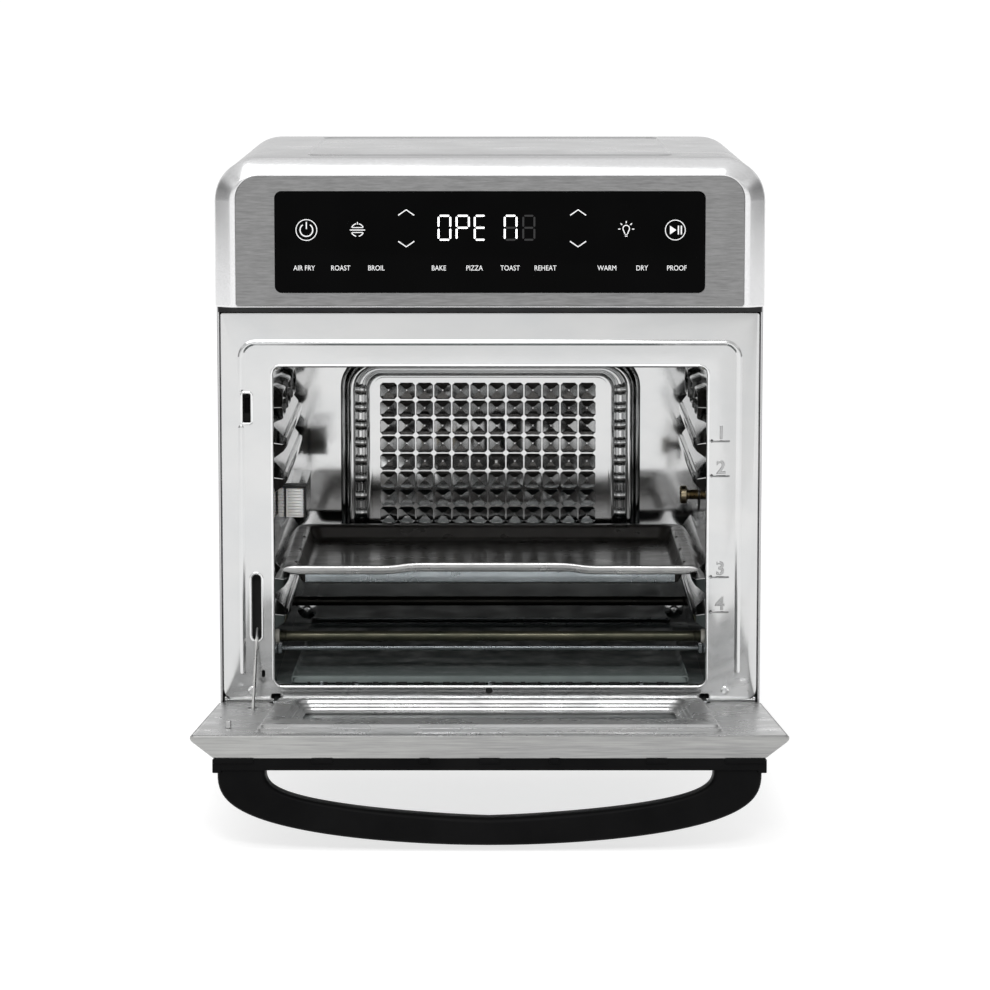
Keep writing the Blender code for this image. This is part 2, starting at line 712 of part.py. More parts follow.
def door_glazing(door):
    inner = [door_ring(0.1190, 0.0490, 0.1680, u, 0.003) for u in (0.0031, 0.0061)]
    loft("inner_glass", inner, "clear_glass", door)
    spacer = [
        door_ring(0.1230, 0.0450, 0.1720, 0.0064, 0.004),
        door_ring(0.1160, 0.0520, 0.1650, 0.0064, 0.004),
        door_ring(0.1160, 0.0520, 0.1650, 0.0084, 0.004),
        door_ring(0.1230, 0.0450, 0.1720, 0.0084, 0.004),
    ]
    loft("glass_spacer", spacer, "dark_steel", door, closed=True)
    outer = [door_ring(0.1300, 0.0300, 0.1900, u, 0.004) for u in (0.0087, 0.0117)]
    loft("outer_glass", outer, "clear_glass", door)


def door_hinges(door):
    """A block in each lower corner of the door carries the pin that turns in the body's tab."""
    section = ((0.0019, -0.0016), (0.0002, -0.0016), (-0.0040, 0.0011), (-0.0040, 0.0125), (0.0019, 0.0125))
    for side, middle in (("left", -HINGE_X), ("right", HINGE_X)):
        base = prism(
            f"door_hinge_{side}", section, middle - 0.0085, middle + 0.0085, "x", "dark_steel", door
        )
        slot = door_block(
            f"door_hinge_{side}_slot", (middle - 0.0022, middle + 0.0022), (-0.001, 0.0085), (0.0, 0.0105),
            "dark_steel", door,
        )
        cut(base, slot)
        centre = (middle, 0, 0)
        axle = pin(f"door_hinge_{side}_pin", PIN_RADIUS, -0.0080, 0.0080, centre, "x", "dark_steel", door, 16)
        join(base, axle)


def rod_anchor(door):
    """Two cheeks and a cross pin under the liner, where the counterbalance rod hooks on."""
    base = door_block(
        "rod_anchor", (ROD_X - 0.0045, ROD_X + 0.0045), (0.0011, 0.0075), (0.0395, 0.0525), "dark_steel", door
    )
    slot = door_block(
        "rod_anchor_slot", (ROD_X - 0.0024, ROD_X + 0.0024), (0.0, 0.0090), (0.0380, 0.0540), "dark_steel", door
    )
    cut(base, slot)
    centre = (ROD_X, PIVOT_U - ROD_U, ROD_V - PIVOT_V)
    join(base, pin("rod_anchor_pin", EYE_PIN_RADIUS, -0.0040, 0.0040, centre, "x", "dark_steel", door, 16))


def striker(door):
    door_block("door_striker", (-0.1530, -0.1500), (-0.0039, -0.0003), (0.1875, 0.1955), "black_plastic", door)


def handle(door):
    """Bow handle on a black strip across the door's outer face, near its top edge."""
    strip = door_block("door_strip", (-0.1570, 0.1570), (0.0133, 0.0200), (0.2160, 0.2390), "black_plastic", door)
    for side in (-1, 1):
        x = sorted((side * 0.1530, side * 0.1575))
        end = door_block(
            f"door_strip_end_{'left' if side < 0 else 'right'}", x, (0.0136, 0.0215), (0.2165, 0.2385),
            "black_plastic", door,
        )
        join(strip, end)
    outer_half, inner_half = 0.1548, 0.1275
    base = 0.0203
    steps = 14
    outer, inner = [], []
    for i in range(steps + 1):
        turn = math.pi * i / steps
        share = abs(math.cos(turn)) ** 0.85
        side = math.copysign(1, math.cos(turn)) if abs(math.cos(turn)) > 1e-9 else 0
        outer.append((side * outer_half * share, base + 0.0422 * (1 - share**1.9) ** (1 / 3)))
        inner.append((side * inner_half * share, base + 0.0259 * (1 - share**1.9) ** (1 / 2)))
    section = outer + inner[::-1]
    outline = [(x, PIVOT_U - u) for x, u in section]
    bow = prism("handle", outline, 0.2165 - PIVOT_V, 0.2365 - PIVOT_V, "z", "black_plastic", door)
    edge = bow.modifiers.new("rounded_edges", "BEVEL")
    edge.width = 0.0030
    edge.segments = 1
    edge.limit_method = "ANGLE"
    edge.angle_limit = math.radians(60)


# Counterbalance


def rod_directions():
    """Unit vectors across the oven, along the rod towards its spring, and square to both."""
    along = Vector((0, math.cos(ROD_ANGLE), math.sin(ROD_ANGLE)))
    across = Vector((1, 0, 0))
    return across, along, across.cross(along)


def spring_rod(anchor):
    """Steel rod with an eye at each end. Its lower eye is on the door's anchor pin, which it turns about."""
    across, along, square = rod_directions()

    def section(distance, radius=0.0010):
        points = []
        for i in range(8):
            angle = 2 * math.pi * i / 8
            point = along * distance + across * radius * math.cos(angle)
            points.append(point + square * radius * math.sin(angle))
        return points

    rod = loft("spring_rod", [section(0.0020), section(ROD_LENGTH - 0.0018)], "motor_steel", anchor)
    for label, centre in (("lower", Vector()), ("upper", along * ROD_LENGTH)):
        eye = pin(f"spring_rod_{label}_eye", 0.0032, -0.0012, 0.0012, centre, "x", "motor_steel", anchor, 16)
        join(rod, eye)
    for label, centre in (("lower", Vector()), ("upper", along * ROD_LENGTH)):
        cut_bore(rod, f"{label}_bore", EYE_PIN_RADIUS + RUNNING, -0.003, 0.003, centre, "x", 24)


def counterbalance(body, anchor_point):
    """Tension spring and its post, in the left side chamber.

    anchor_point is the rod's lower end, seen from the body.
    """
    across, along, square = rod_directions()
    lower = anchor_point + along * (ROD_LENGTH + 0.0040)
    distance = (POST_DEPTH - anchor_point.y) / math.cos(ROD_ANGLE)
    post = anchor_point + along * distance
    length = distance - ROD_LENGTH - 0.0065
    turns, per_turn, radius = 15, 8, 0.0042
    curve = bpy.data.curves.new("door_spring", "CURVE")
    curve.dimensions = "3D"
    curve.bevel_depth = 0.0006
    curve.bevel_resolution = 0
    curve.use_fill_caps = True
    line = curve.splines.new("POLY")
    count = turns * per_turn + 1
    line.points.add(count - 1)
    for i in range(count):
        angle = 2 * math.pi * i / per_turn
        share = i / (count - 1)
        point = lower + along * (length * share)
        point += across * radius * math.cos(angle) + square * radius * math.sin(angle)
        line.points[i].co = (*point, 1)
    curve.materials.append(paint("motor_steel"))
    made = bpy.data.objects.new("door_spring", curve)
    bpy.context.scene.collection.objects.link(made)
    made.parent = body
    inner_end = -CAVITY_HALF - WALL - GAP
    pin("spring_post", 0.0016, ROD_X - 0.0020, inner_end, (0, post.y, post.z), "x", "motor_steel", body, 10)


def main():
    clear_scene()
    body = axis_empty("body_datum", (0, FRONT_Y, 0))
    outer_wrap(body)
    rear_cover(body)
    base_plate(body)
    feet(body)
    front_frame(body)
    hinge_brackets(body)
    cavity(body)
    rack_guides(body)
    fan_cover(body)
    fans(body)
    fan_motor(body)
    heaters(body)
    lamp(body)
    rotisserie(body)
    control_panel(body)
    electronics(body)
    door_switch(body)
    baking_tray(body)
    crumb_tray(body)

    door = axis_empty("door_axis", (0, PIVOT_DEPTH, PIVOT_HEIGHT), body, OPEN_ANGLE)
    door_shells(door)
    door_glazing(door)
    door_hinges(door)
    rod_anchor(door)
    striker(door)
    handle(door)

    y, z = PIVOT_U - ROD_U, ROD_V - PIVOT_V
    turn_y = y * math.cos(OPEN_ANGLE) - z * math.sin(OPEN_ANGLE)
    turn_z = y * math.sin(OPEN_ANGLE) + z * math.cos(OPEN_ANGLE)
    anchor_point = Vector((ROD_X, PIVOT_DEPTH + turn_y, PIVOT_HEIGHT + turn_z))
    anchor = axis_empty("rod_axis", anchor_point, body)
    spring_rod(anchor)
    counterbalance(body, anchor_point)


main()
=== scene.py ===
"""Looks of a compact air-fryer toaster oven with its door open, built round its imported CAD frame.

Body pieces are drawn in millimetres as (x, depth behind the front plane, height over the counter).
Door pieces are drawn with the door shut, as (x, depth behind the door's inner face, distance up the door).
"""

import json
import math

import bmesh
import bpy
from mathutils import Matrix, Vector


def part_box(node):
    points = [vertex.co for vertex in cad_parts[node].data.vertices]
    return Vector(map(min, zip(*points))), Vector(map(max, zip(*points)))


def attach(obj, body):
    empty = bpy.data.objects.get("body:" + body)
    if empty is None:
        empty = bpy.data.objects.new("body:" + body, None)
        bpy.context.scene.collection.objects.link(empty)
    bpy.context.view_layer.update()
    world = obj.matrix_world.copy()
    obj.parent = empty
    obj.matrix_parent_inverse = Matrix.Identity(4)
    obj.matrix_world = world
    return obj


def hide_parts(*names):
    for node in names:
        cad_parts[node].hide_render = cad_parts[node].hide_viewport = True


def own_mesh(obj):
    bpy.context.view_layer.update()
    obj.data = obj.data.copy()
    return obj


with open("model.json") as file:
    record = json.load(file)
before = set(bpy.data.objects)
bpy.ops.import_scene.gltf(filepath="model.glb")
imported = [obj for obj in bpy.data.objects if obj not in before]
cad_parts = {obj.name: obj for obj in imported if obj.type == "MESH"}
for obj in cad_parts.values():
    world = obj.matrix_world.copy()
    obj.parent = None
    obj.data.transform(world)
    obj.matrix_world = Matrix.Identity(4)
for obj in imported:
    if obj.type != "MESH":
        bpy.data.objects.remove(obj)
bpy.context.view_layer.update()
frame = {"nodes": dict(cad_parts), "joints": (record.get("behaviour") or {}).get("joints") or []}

MM = 0.001
JOINTS = {joint["name"]: joint for joint in frame["joints"]}
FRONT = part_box("front_frame")[0].y
PIVOT = Vector(JOINTS["door_hinge"]["pos_m"])
OPEN_ANGLE = math.radians(JOINTS["door_hinge"]["range_deg"][1])

IN_METRES = Matrix.Scale(MM, 4)
BODY = Matrix.Translation((0, FRONT, 0)) @ IN_METRES
DOOR = (
    Matrix.Translation(PIVOT)
    @ Matrix.Rotation(OPEN_ANGLE, 4, "X")
    @ Matrix.Translation((0, 3 * MM, -3 * MM))
    @ IN_METRES
)
SIDES = (-1, 1)

# Driving dimensions, in millimetres
HALF_WIDTH = 169.5
TOP = 380.6
MOUTH_HALF, MOUTH_LOW, MOUTH_HIGH = 135.0, 50.6, 251.4
FRAME_LOW, FRAME_HIGH = 41.2, 285.6
HINGE_X = 134.5
SHELF_MARKS = (205.1, 183.2, 119.4, 97.2)
CAVITY_HALF, CAVITY_BACK, CAVITY_ROOF = 136.5, 258.0, 253.0
RACK_LEVELS = (205.2, 183.3, 119.4, 96.4)
PANEL_ROW = 337.65
LAMP = (0, 122, 158)
SPIT = (0, 125, 154.5)


# Outlines


def rounded(x0, x1, z0, z1, low=1.0, steps=6, high=None):
    """A rounded rectangle's points, from its lower left corner. low and high are its corners' radii."""
    high = low if high is None else high
    corners = (
        (x0 + low, z0 + low, low, 180),
        (x1 - low, z0 + low, low, 270),
        (x1 - high, z1 - high, high, 0),
        (x0 + high, z1 - high, high, 90),
    )
    points = []
    for x, z, radius, start in corners:
        points += arc((x, z), radius, start, start + 90, steps)
    return points


def centred(half, z0, z1, low=1.0, steps=6, high=None):
    """A rounded rectangle half as wide to either side of the middle."""
    return rounded(-half, half, z0, z1, low, steps, high)


def at_depth(outline, depth):
    """An outline of (x, z) as a ring facing the front."""
    return [Vector((x, depth, z)) for x, z in outline]


def at_height(outline, height):
    """An outline of (x, y) as a level ring."""
    return [Vector((x, y, height)) for x, y in outline]


def arc(centre, radius, start, end, steps=8):
    """Points of an arc in a plane, angles in degrees."""
    points = []
    for i in range(steps + 1):
        angle = math.radians(start + (end - start) * i / steps)
        points.append((centre[0] + radius * math.cos(angle), centre[1] + radius * math.sin(angle)))
    return points


def circle(steps):
    """The cosine and sine of each of evenly spaced angles round a full turn."""
    angles = [2 * math.pi * i / steps for i in range(steps)]
    return [(math.cos(angle), math.sin(angle)) for angle in angles]


def round_end(near):
    """Height of a round end at a share of its radius from the tip."""
    return math.sqrt(max(0.0, 1 - (1 - min(near, 1.0)) ** 2))


# Shapes added to a bmesh

ON_AXIS = {
    "x": lambda a, b, along: Vector((along, a, b)),
    "y": lambda a, b, along: Vector((a, along, b)),
    "z": lambda a, b, along: Vector((a, b, along)),
}


def skin(bm, rings, closed=False, caps=True):
    """Joins rings of equal length. closed joins the last ring to the first."""
    layers = [[bm.verts.new(point) for point in ring] for ring in rings]
    following = layers[1:] + layers[:1] if closed else layers[1:]
    for near, far in zip(layers, following):
        for i in range(len(near)):
            k = (i + 1) % len(near)
            bm.faces.new((near[i], near[k], far[k], far[i]))
    if caps and not closed:
        bm.faces.new(layers[0])
        bm.faces.new(layers[-1])


def push(bm, outline, start, end, axis="y"):
    """An outline pushed along an axis. Its points hold the other two coordinates, in X, Y, Z order."""
    skin(bm, [[ON_AXIS[axis](a, b, along) for a, b in outline] for along in (start, end)])


def block(bm, low, high):
    """A box between two opposite corners."""
    x0, x1 = sorted((low[0], high[0]))
    push(bm, [(x0, low[1]), (x1, low[1]), (x1, high[1]), (x0, high[1])], low[2], high[2], "z")


def turn(bm, profile, centre, axis, sides=32, closed=False):
    """A turned shape about an axis through centre. Its profile is (radius, distance along the axis)."""
    rings = []
    for radius, along in profile:
        ring = [ON_AXIS[axis](radius * c, radius * s, along) for c, s in circle(sides)]
        rings.append([Vector(centre) + point for point in ring])
    skin(bm, rings, closed)


def tube(bm, path, radius, sides=12):
    """A round bar along a path of points."""
    path = [Vector(point) for point in path]
    rings = []
    side = None
    for i, point in enumerate(path):
        ahead = (path[min(i + 1, len(path) - 1)] - path[max(i - 1, 0)]).normalized()
        if side is None:
            side = ahead.orthogonal().normalized()
        side = (side - ahead * side.dot(ahead)).normalized()
        other = ahead.cross(side)
        rings.append([point + (side * c + other * s) * radius for c, s in circle(sides)])
    skin(bm, rings)


def bead(bm, path, width, height, out, closed=False):
    """A pressed rib that stands out of a sheet along a path, with feet that blend into the sheet."""
    path = [Vector(point) for point in path]
    out = Vector(out)
    stations = [(-0.5, -0.15), (-0.42, 0.02), (-0.3, 0.35), (-0.15, 0.82), (0.0, 1.0)]
    stations += [(-a, b) for a, b in stations[-2::-1]]
    rings = []
    travelled = 0.0
    total = sum((b - a).length for a, b in zip(path, path[1:]))
    for i, point in enumerate(path):
        if i:
            travelled += (point - path[i - 1]).length
        before = path[i - 1] if i or closed else point
        after = path[(i + 1) % len(path)] if i + 1 < len(path) or closed else point
        side = (after - before).normalized().cross(out).normalized()
        scale = 1.0
        if not closed:
            scale = max(round_end(min(travelled, total - travelled) / (width / 2)), 0.05)
        ring = []
        for a, b in stations:
            rise = height * (b if b < 0 else b * scale)
            ring.append(point + side * (a * width * scale) + out * rise)
        rings.append(ring)
    skin(bm, rings, closed=closed)


def rib(bm, start, end, width, height, out):
    """A straight bead with round ends."""
    bead(bm, spaced([start, end], width), width, height, out)


def spaced(points, width):
    """A path with extra points near both ends, so that a bead's ends are round."""
    points = [Vector(point) for point in points]
    ends = [share * width / 2 for share in (0.0, 0.06, 0.16, 0.3, 0.5, 0.75, 1.0)]
    first = (points[1] - points[0]).normalized()
    last = (points[-1] - points[-2]).normalized()
    head = [points[0] + first * distance for distance in ends]
    tail = [points[-1] - last * distance for distance in reversed(ends)]
    return head + points[1:-1] + tail


def shape(add, *args):
    """A new bmesh holding one shape."""
    bm = bmesh.new()
    add(bm, *args)
    return bm


# Pieces

MATERIALS = {}


def new_object(name, bm, material=None, place=Matrix.Identity(4), sharp=30):
    """A smooth-shaded object from a bmesh, with edges over sharp degrees kept crisp."""
    bmesh.ops.recalc_face_normals(bm, faces=bm.faces)
    bm.transform(place)
    mesh = bpy.data.meshes.new(name)
    bm.to_mesh(mesh)
    bm.free()
    mesh.shade_smooth()
    mesh.set_sharp_from_angle(angle=math.radians(sharp))
    made = bpy.data.objects.new(name, mesh)
    bpy.context.scene.collection.objects.link(made)
    if material:
        mesh.materials.append(MATERIALS[material])
    return made


def piece(name, bm, material, stands_for=None, body="oven", place=None, sharp=30, bevel=0.0):
    """A finished piece that rides on a CAD body and, where one is named, stands for a CAD node."""
    if place is None:
        place = DOOR if body == "door" else BODY
    made = new_object(name, bm, material, place, sharp)
    if bevel:
        step = made.modifiers.new("rounded_edges", "BEVEL")
        step.width = bevel * MM
        step.segments = 2
        step.limit_method = "ANGLE"
        step.angle_limit = math.radians(40)
        step.harden_normals = True
    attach(made, body)
    if stands_for:
        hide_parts(stands_for)
    return made


def made_of(name, material, *steps, **options):
    """A piece of several shapes. Each step is a shape's function and what it's called with."""
    bm = bmesh.new()
    for add, *args in steps:
        add(bm, *args)
    return piece(name, bm, material, **options)


def carve(bm, *tools):
    """Cuts other bmeshes out of this one, and returns the result."""
    target = new_object("carved", bm)
    cutters = [new_object("cutter", tool) for tool in tools]
    for cutter in cutters:
        step = target.modifiers.new("cut", "BOOLEAN")
        step.operation = "DIFFERENCE"
        step.solver = "EXACT"
        step.object = cutter
    evaluated = target.evaluated_get(bpy.context.evaluated_depsgraph_get())
    result = bmesh.new()
    result.from_mesh(evaluated.to_mesh())
    for item in (target, *cutters):
        mesh = item.data
        bpy.data.objects.remove(item)
        bpy.data.meshes.remove(mesh)
    bmesh.ops.dissolve_limit(result, angle_limit=0.001, verts=result.verts, edges=result.edges)
    return result


def lettering(bm, text, size, centre, depth, thick, rounding=0.0, wide=1.0):
    """Raised letters that face the front, centred on (x, z), their faces thick in front of depth."""
    curve = bpy.data.curves.new("letters", "FONT")
    curve.body = text
    curve.size = size
    curve.align_x = "CENTER"
    curve.align_y = "CENTER"
    curve.extrude = thick
    curve.bevel_depth = rounding
    curve.bevel_resolution = 2 if rounding else 0
    curve.resolution_u = 5
    made = bpy.data.objects.new("letters", curve)
    bpy.context.scene.collection.objects.link(made)
    mesh = made.evaluated_get(bpy.context.evaluated_depsgraph_get()).to_mesh()
    turned = Matrix.Rotation(math.radians(90), 4, "X") @ Matrix.Diagonal((wide, 1, 1, 1))
    mesh.transform(Matrix.Translation((centre[0], depth, centre[1])) @ turned)
    bm.from_mesh(mesh)
    bpy.data.objects.remove(made)
    bpy.data.curves.remove(curve)


def stroke(bm, points, width, depth, closed=False):
    """A flat printed line in the X-Z plane."""
    thick = 0.05
    points = [Vector((x, z)) for x, z in points]
    count = len(points)
    rings = []
    for i, point in enumerate(points):
        before = points[i - 1] if i or closed else point
        after = points[(i + 1) % count] if i + 1 < count or closed else point
        ahead = (after - before).normalized()
        across = Vector((-ahead.y, ahead.x)) * (width / 2)
        a, b = point + across, point - across
        rings.append([(a.x, depth - thick, a.y), (b.x, depth - thick, b.y), (b.x, depth, b.y),
                      (a.x, depth, a.y)])
    skin(bm, rings, closed=closed)


SCREW_HEAD = []
HEAD_RISE = 0.58


def screw_head():
    """The mesh of a pan head with a cross recess, one millimetre in radius. It's cut once and kept."""
    if not SCREW_HEAD:
        profile = ((1.0, 0.0), (1.0, 0.12), (0.95, 0.3), (0.78, 0.46), (0.5, 0.55), (0.2, HEAD_RISE))
        first = shape(block, (-0.55, -0.11, 0.22), (0.55, 0.11, 1.0))
        second = shape(block, (-0.11, -0.55, 0.22), (0.11, 0.55, 1.0))
        cut = carve(shape(turn, profile, (0, 0, 0), "z", 24), first, second)
        mesh = bpy.data.meshes.new("screw_head")
        cut.to_mesh(mesh)
        cut.free()
        SCREW_HEAD.append(mesh)
    return SCREW_HEAD[0]


def screw(bm, centre, direction, radius, height):
    """A screw's head with a cross recess. direction is the way that it faces."""
    mesh = screw_head().copy()
    turned = Vector(direction).to_track_quat("Z", "Y").to_matrix().to_4x4()
    scaled = Matrix.Diagonal((radius, radius, height / HEAD_RISE, 1))
    mesh.transform(Matrix.Translation(centre) @ turned @ scaled)
    bm.from_mesh(mesh)
    bpy.data.meshes.remove(mesh)


# Materials

INPUTS = {
    "metal": "Metallic", "coat": "Coat Weight", "gloss": "Specular IOR Level",
    "clear": "Transmission Weight",
    "milky": "Subsurface Weight", "milk_depth": "Subsurface Radius", "glow": "Emission Strength",
    "glow_colour": "Emission Color", "roughness": "Roughness",
}


def add_node(tree, kind, **inputs):
    """A new shader node. Each input takes a number, or another node's output."""
    made = tree.nodes.new("ShaderNode" + kind)
    for word, value in inputs.items():
        socket = made.inputs[word.replace("_", " ")]
        if isinstance(value, bpy.types.NodeSocket):
            tree.links.new(value, socket)
        else:
            socket.default_value = value
    return made


class Look:
    """A procedural material. Its textures are measured in metres on the piece itself."""

    def __init__(self, name, **inputs):
        self.material = bpy.data.materials.new(name)
        self.material.use_nodes = True
        self.tree = self.material.node_tree
        self.shader = self.tree.nodes["Principled BSDF"]
        self.shader.inputs["Coat Roughness"].default_value = 0.08
        for word, value in inputs.items():
            self.shader.inputs[INPUTS[word]].default_value = value
        self.place = add_node(self.tree, "TexCoord").outputs["Object"]
        self.bumped = None
        MATERIALS[name] = self.material

    def noise(self, scale, detail=3.0, stretch=(1, 1, 1), rough=0.55):
        """Noise with about scale features to the metre."""
        place = add_node(self.tree, "Mapping", Vector=self.place, Scale=[scale * s for s in stretch])
        made = add_node(self.tree, "TexNoise", Vector=place.outputs["Vector"], Scale=1.0, Detail=detail,
                        Roughness=rough)
        return made.outputs["Fac"]

    def colour(self, value, dark, light, start=0.3, end=0.7):
        """A base colour that goes from dark to light as the value goes from start to end."""
        ramp = add_node(self.tree, "ValToRGB", Fac=value)
        for stop, position, shade in zip(ramp.color_ramp.elements, (start, end), (dark, light)):
            stop.position = position
            stop.color = (*shade, 1)
        self.tree.links.new(ramp.outputs["Color"], self.shader.inputs["Base Color"])

    def rough(self, value, low, high):
        """Roughness that goes from low to high as the value goes through its middle."""
        spread = add_node(self.tree, "MapRange", Value=value, From_Min=0.3, From_Max=0.7, To_Min=low,
                          To_Max=high)
        self.tree.links.new(spread.outputs["Result"], self.shader.inputs["Roughness"])

    def bump(self, value, depth):
        """A bump of about depth metres, over any bump made before."""
        made = add_node(self.tree, "Bump", Strength=1.0, Distance=depth, Height=value)
        if self.bumped:
            self.tree.links.new(self.bumped, made.inputs["Normal"])
        self.bumped = made.outputs["Normal"]
        self.tree.links.new(self.bumped, self.shader.inputs["Normal"])


def finish(name, tone, dark, light, shine, rough, *bumps, span=(0.3, 0.7), **inputs):
    """A material from noise. tone mixes dark and light, shine spreads rough, bumps are (noise, depth)."""
    look = Look(name, **inputs)
    look.colour(look.noise(*tone), dark, light, *span)
    look.rough(look.noise(*shine), *rough)
    for texture, depth in bumps:
        look.bump(look.noise(*texture), depth)


def polished_steel(name, shade, rough, warp, metal=1.0):
    """Bright rolled stainless sheet, slightly wavy, with faint smears and a fine rolled grain."""
    dark = (shade * 0.93, shade * 0.94, shade * 0.945)
    finish(name, (22, 4, (1, 1, 1.6)), dark, (shade, shade, shade * 0.995), (38, 5, (1.0, 1.0, 2.2)),
           (rough * 0.75, rough * 1.7), ((7, 1), warp), ((260, 3, (1, 1, 0.12)), 0.0000035), metal=metal)


def satin_silver(name, shade, rough):
    """Silver-grey satin finish, with a very fine metallic speckle."""
    dark = (shade * 0.93, shade * 0.93, shade * 0.935)
    finish(name, (900, 2), dark, (shade, shade, shade * 1.01), (30, 4), (rough * 0.85, rough * 1.15),
           ((1400, 2), 0.000004), ((6, 0), 0.00008), span=(0.35, 0.65), metal=0.92)


def brushed(name, stretch, dark, light, rough, cloud=0.0):
    """Stainless sheet brushed along the coordinate that stretch makes small. cloud mixes in broad patches."""
    look = Look(name, metal=1.0)
    grain = look.noise(1100, 4, stretch, 0.65)
    if cloud:
        patches = look.noise(16, 4, (0.45, 1, 1.6))
        blend = add_node(look.tree, "Mix", Factor=cloud, A=grain, B=patches)
        look.colour(blend.outputs["Result"], dark, light, 0.36, 0.62)
    else:
        look.colour(grain, dark, light)
    look.rough(look.noise(500, 3, stretch), rough * 0.8, rough * 1.2)
    look.bump(grain, 0.000012)


def coated_steel(name, dark, light, rough, metal=0.85, gloss=0.5):
    """Dull grey plated or coated sheet, with light handling marks."""
    finish(name, (40, 3, (1, 1.6, 1)), dark, light, (70, 5), (rough * 0.75, rough * 1.35),
           ((600, 3, (1, 0.3, 1)), 0.000008), metal=metal, gloss=gloss)


def heater_sheath(name, dark, light):
    """Oxidised sheath of a heating element, darkened in patches."""
    finish(name, (45, 5, (1.0, 2, 2), 0.6), dark, light, (110, 4, (0.6, 1, 1)), (0.25, 0.48),
           ((800, 3), 0.00001), metal=0.75)


def glass(name, tint, rough):
    """Clear or tinted sheet glass, very slightly wavy."""
    finish(name, (30, 3), [c * 0.985 for c in tint], tint, (70, 4), (rough, rough + 0.035),
           ((8, 1), 0.00004), clear=1.0)


def black_glass(name, shade):
    """Gloss black touch panel with the faintest dust haze."""
    dark = (shade, shade, shade * 1.05)
    finish(name, (35, 5), dark, (shade * 1.7, shade * 1.7, shade * 1.8), (55, 5), (0.05, 0.11),
           ((10, 1), 0.00003), gloss=0.03)


def plain_metal(name, dark, light, rough, metal=1.0):
    """Bare or blackened metal with a dull, slightly uneven shine."""
    finish(name, (50, 5), dark, light, (80, 4), (rough * 0.8, rough * 1.25), ((500, 3), 0.000007),
           metal=metal)


def plain_plastic(name, dark, light, rough):
    """Moulded plastic with a fine grain."""
    finish(name, (70, 4), dark, light, (90, 3), (rough * 0.85, rough * 1.2), ((900, 2), 0.000014))


def lit_print(name, shade, glow):
    """Screen-printed white that the panel lights from behind."""
    finish(name, (300, 2), (shade * 0.95, shade * 0.96, shade * 0.97), (shade, shade, shade), (200, 2),
           (0.3, 0.42), glow_colour=(shade, shade, shade, 1), glow=glow)


def circuit_board():
    """Green solder mask with copper tracks showing through."""
    look = Look("circuit_board", coat=0.3)
    brick = add_node(look.tree, "TexBrick", Vector=look.place, Scale=60.0, Mortar_Size=0.05)
    look.colour(brick.outputs["Fac"], (0.006, 0.040, 0.016), (0.014, 0.085, 0.034), 0.0, 1.0)
    look.rough(look.noise(90, 3), 0.28, 0.42)
    look.bump(look.noise(600, 2), 0.00001)


def make_steels():
    """Stainless, plated and oxidised metals."""
    polished_steel("polished_steel", 0.66, 0.09, 0.00035)
    polished_steel("frame_steel", 0.62, 0.10, 0.0005)
    # Darker copy of the plate's steel for the embossed shelf numbers: painted shade along the embossing.
    polished_steel("pressed_steel_painted_shade", 0.42, 0.2, 0.0001)
    polished_steel("mirror_steel", 0.61, 0.07, 0.0006)
    polished_steel("door_liner_steel", 0.40, 0.24, 0.0001, 0.7)
    # Lighter steel for screws, and for the mouth's lip and the slots' rims, which are pressed from the plate:
    # on those two it is a painted highlight.
    polished_steel("screw_steel_and_painted_highlight", 0.80, 0.12, 0.0)
    satin_silver("satin_silver", 0.52, 0.3)
    satin_silver("bezel_silver", 0.80, 0.2)
    brushed("brushed_steel", (0.09, 1, 1), (0.19, 0.19, 0.19), (0.285, 0.285, 0.285), 0.36)
    brushed("door_skin_steel", (0.03, 0.6, 1), (0.27, 0.27, 0.27), (0.42, 0.42, 0.41), 0.34, 0.45)
    coated_steel("dark_steel", (0.10, 0.105, 0.105), (0.17, 0.175, 0.175), 0.3)
    coated_steel("floor_steel", (0.112, 0.130, 0.127), (0.128, 0.149, 0.144), 0.50, 0.25, 0.12)
    heater_sheath("heater_steel", (0.055, 0.058, 0.040), (0.105, 0.100, 0.070))
    # Darker copy of the same sheath for every element but the lower front one: painted shade.
    heater_sheath("heater_steel_painted_shade", (0.020, 0.020, 0.018), (0.04, 0.038, 0.033))
    # Blue-grey steel for the rivets; also the strip under the lower front element, the tray's front wall and
    # the crumb tray's rear roll, which are painted reflection.
    plain_metal("rivet_steel_and_painted_reflection", (0.26, 0.285, 0.295), (0.36, 0.39, 0.405), 0.24)
    # Light grey for the tray's rolled front edge, which is the tray's own sheet: painted reflection.
    plain_metal("tray_rim_painted_reflection", (0.311, 0.311, 0.311), (0.429, 0.429, 0.422), 0.3)
    # Blackened steel for screws; also the black strips in the bezel's gaps and at the lamp, which are painted
    # shade.
    plain_metal("black_oxide_and_painted_shade", (0.010, 0.010, 0.011), (0.022, 0.022, 0.022), 0.42, 0.6)
    plain_metal("laminations", (0.20, 0.20, 0.21), (0.30, 0.30, 0.31), 0.4)
    plain_metal("copper_winding", (0.45, 0.17, 0.08), (0.62, 0.27, 0.13), 0.32)
    finish("motor_steel", (60, 5), (0.50, 0.50, 0.49), (0.66, 0.66, 0.65), (90, 4), (0.22, 0.4),
           ((700, 3), 0.000008), metal=1.0)
    finish("zinc_sheet", (190, 2), (0.44, 0.45, 0.46), (0.52, 0.53, 0.54), (50, 4), (0.36, 0.55),
           ((420, 3), 0.00001), span=(0.35, 0.65), metal=0.95)
    finish("brass", (120, 4), (0.30, 0.25, 0.16), (0.46, 0.40, 0.28), (150, 3), (0.2, 0.36),
           ((900, 2, (1, 0.2, 1)), 0.00001), metal=1.0)
    finish("dark_enamel", (26, 5, (0.5, 1.3, 1), 0.6), (0.052, 0.048, 0.045), (0.094, 0.088, 0.082),
           (60, 5, (0.6, 1.4, 1)), (0.24, 0.40), ((1200, 3), 0.000010), ((12, 1), 0.0001), metal=0.62,
           coat=0.25)


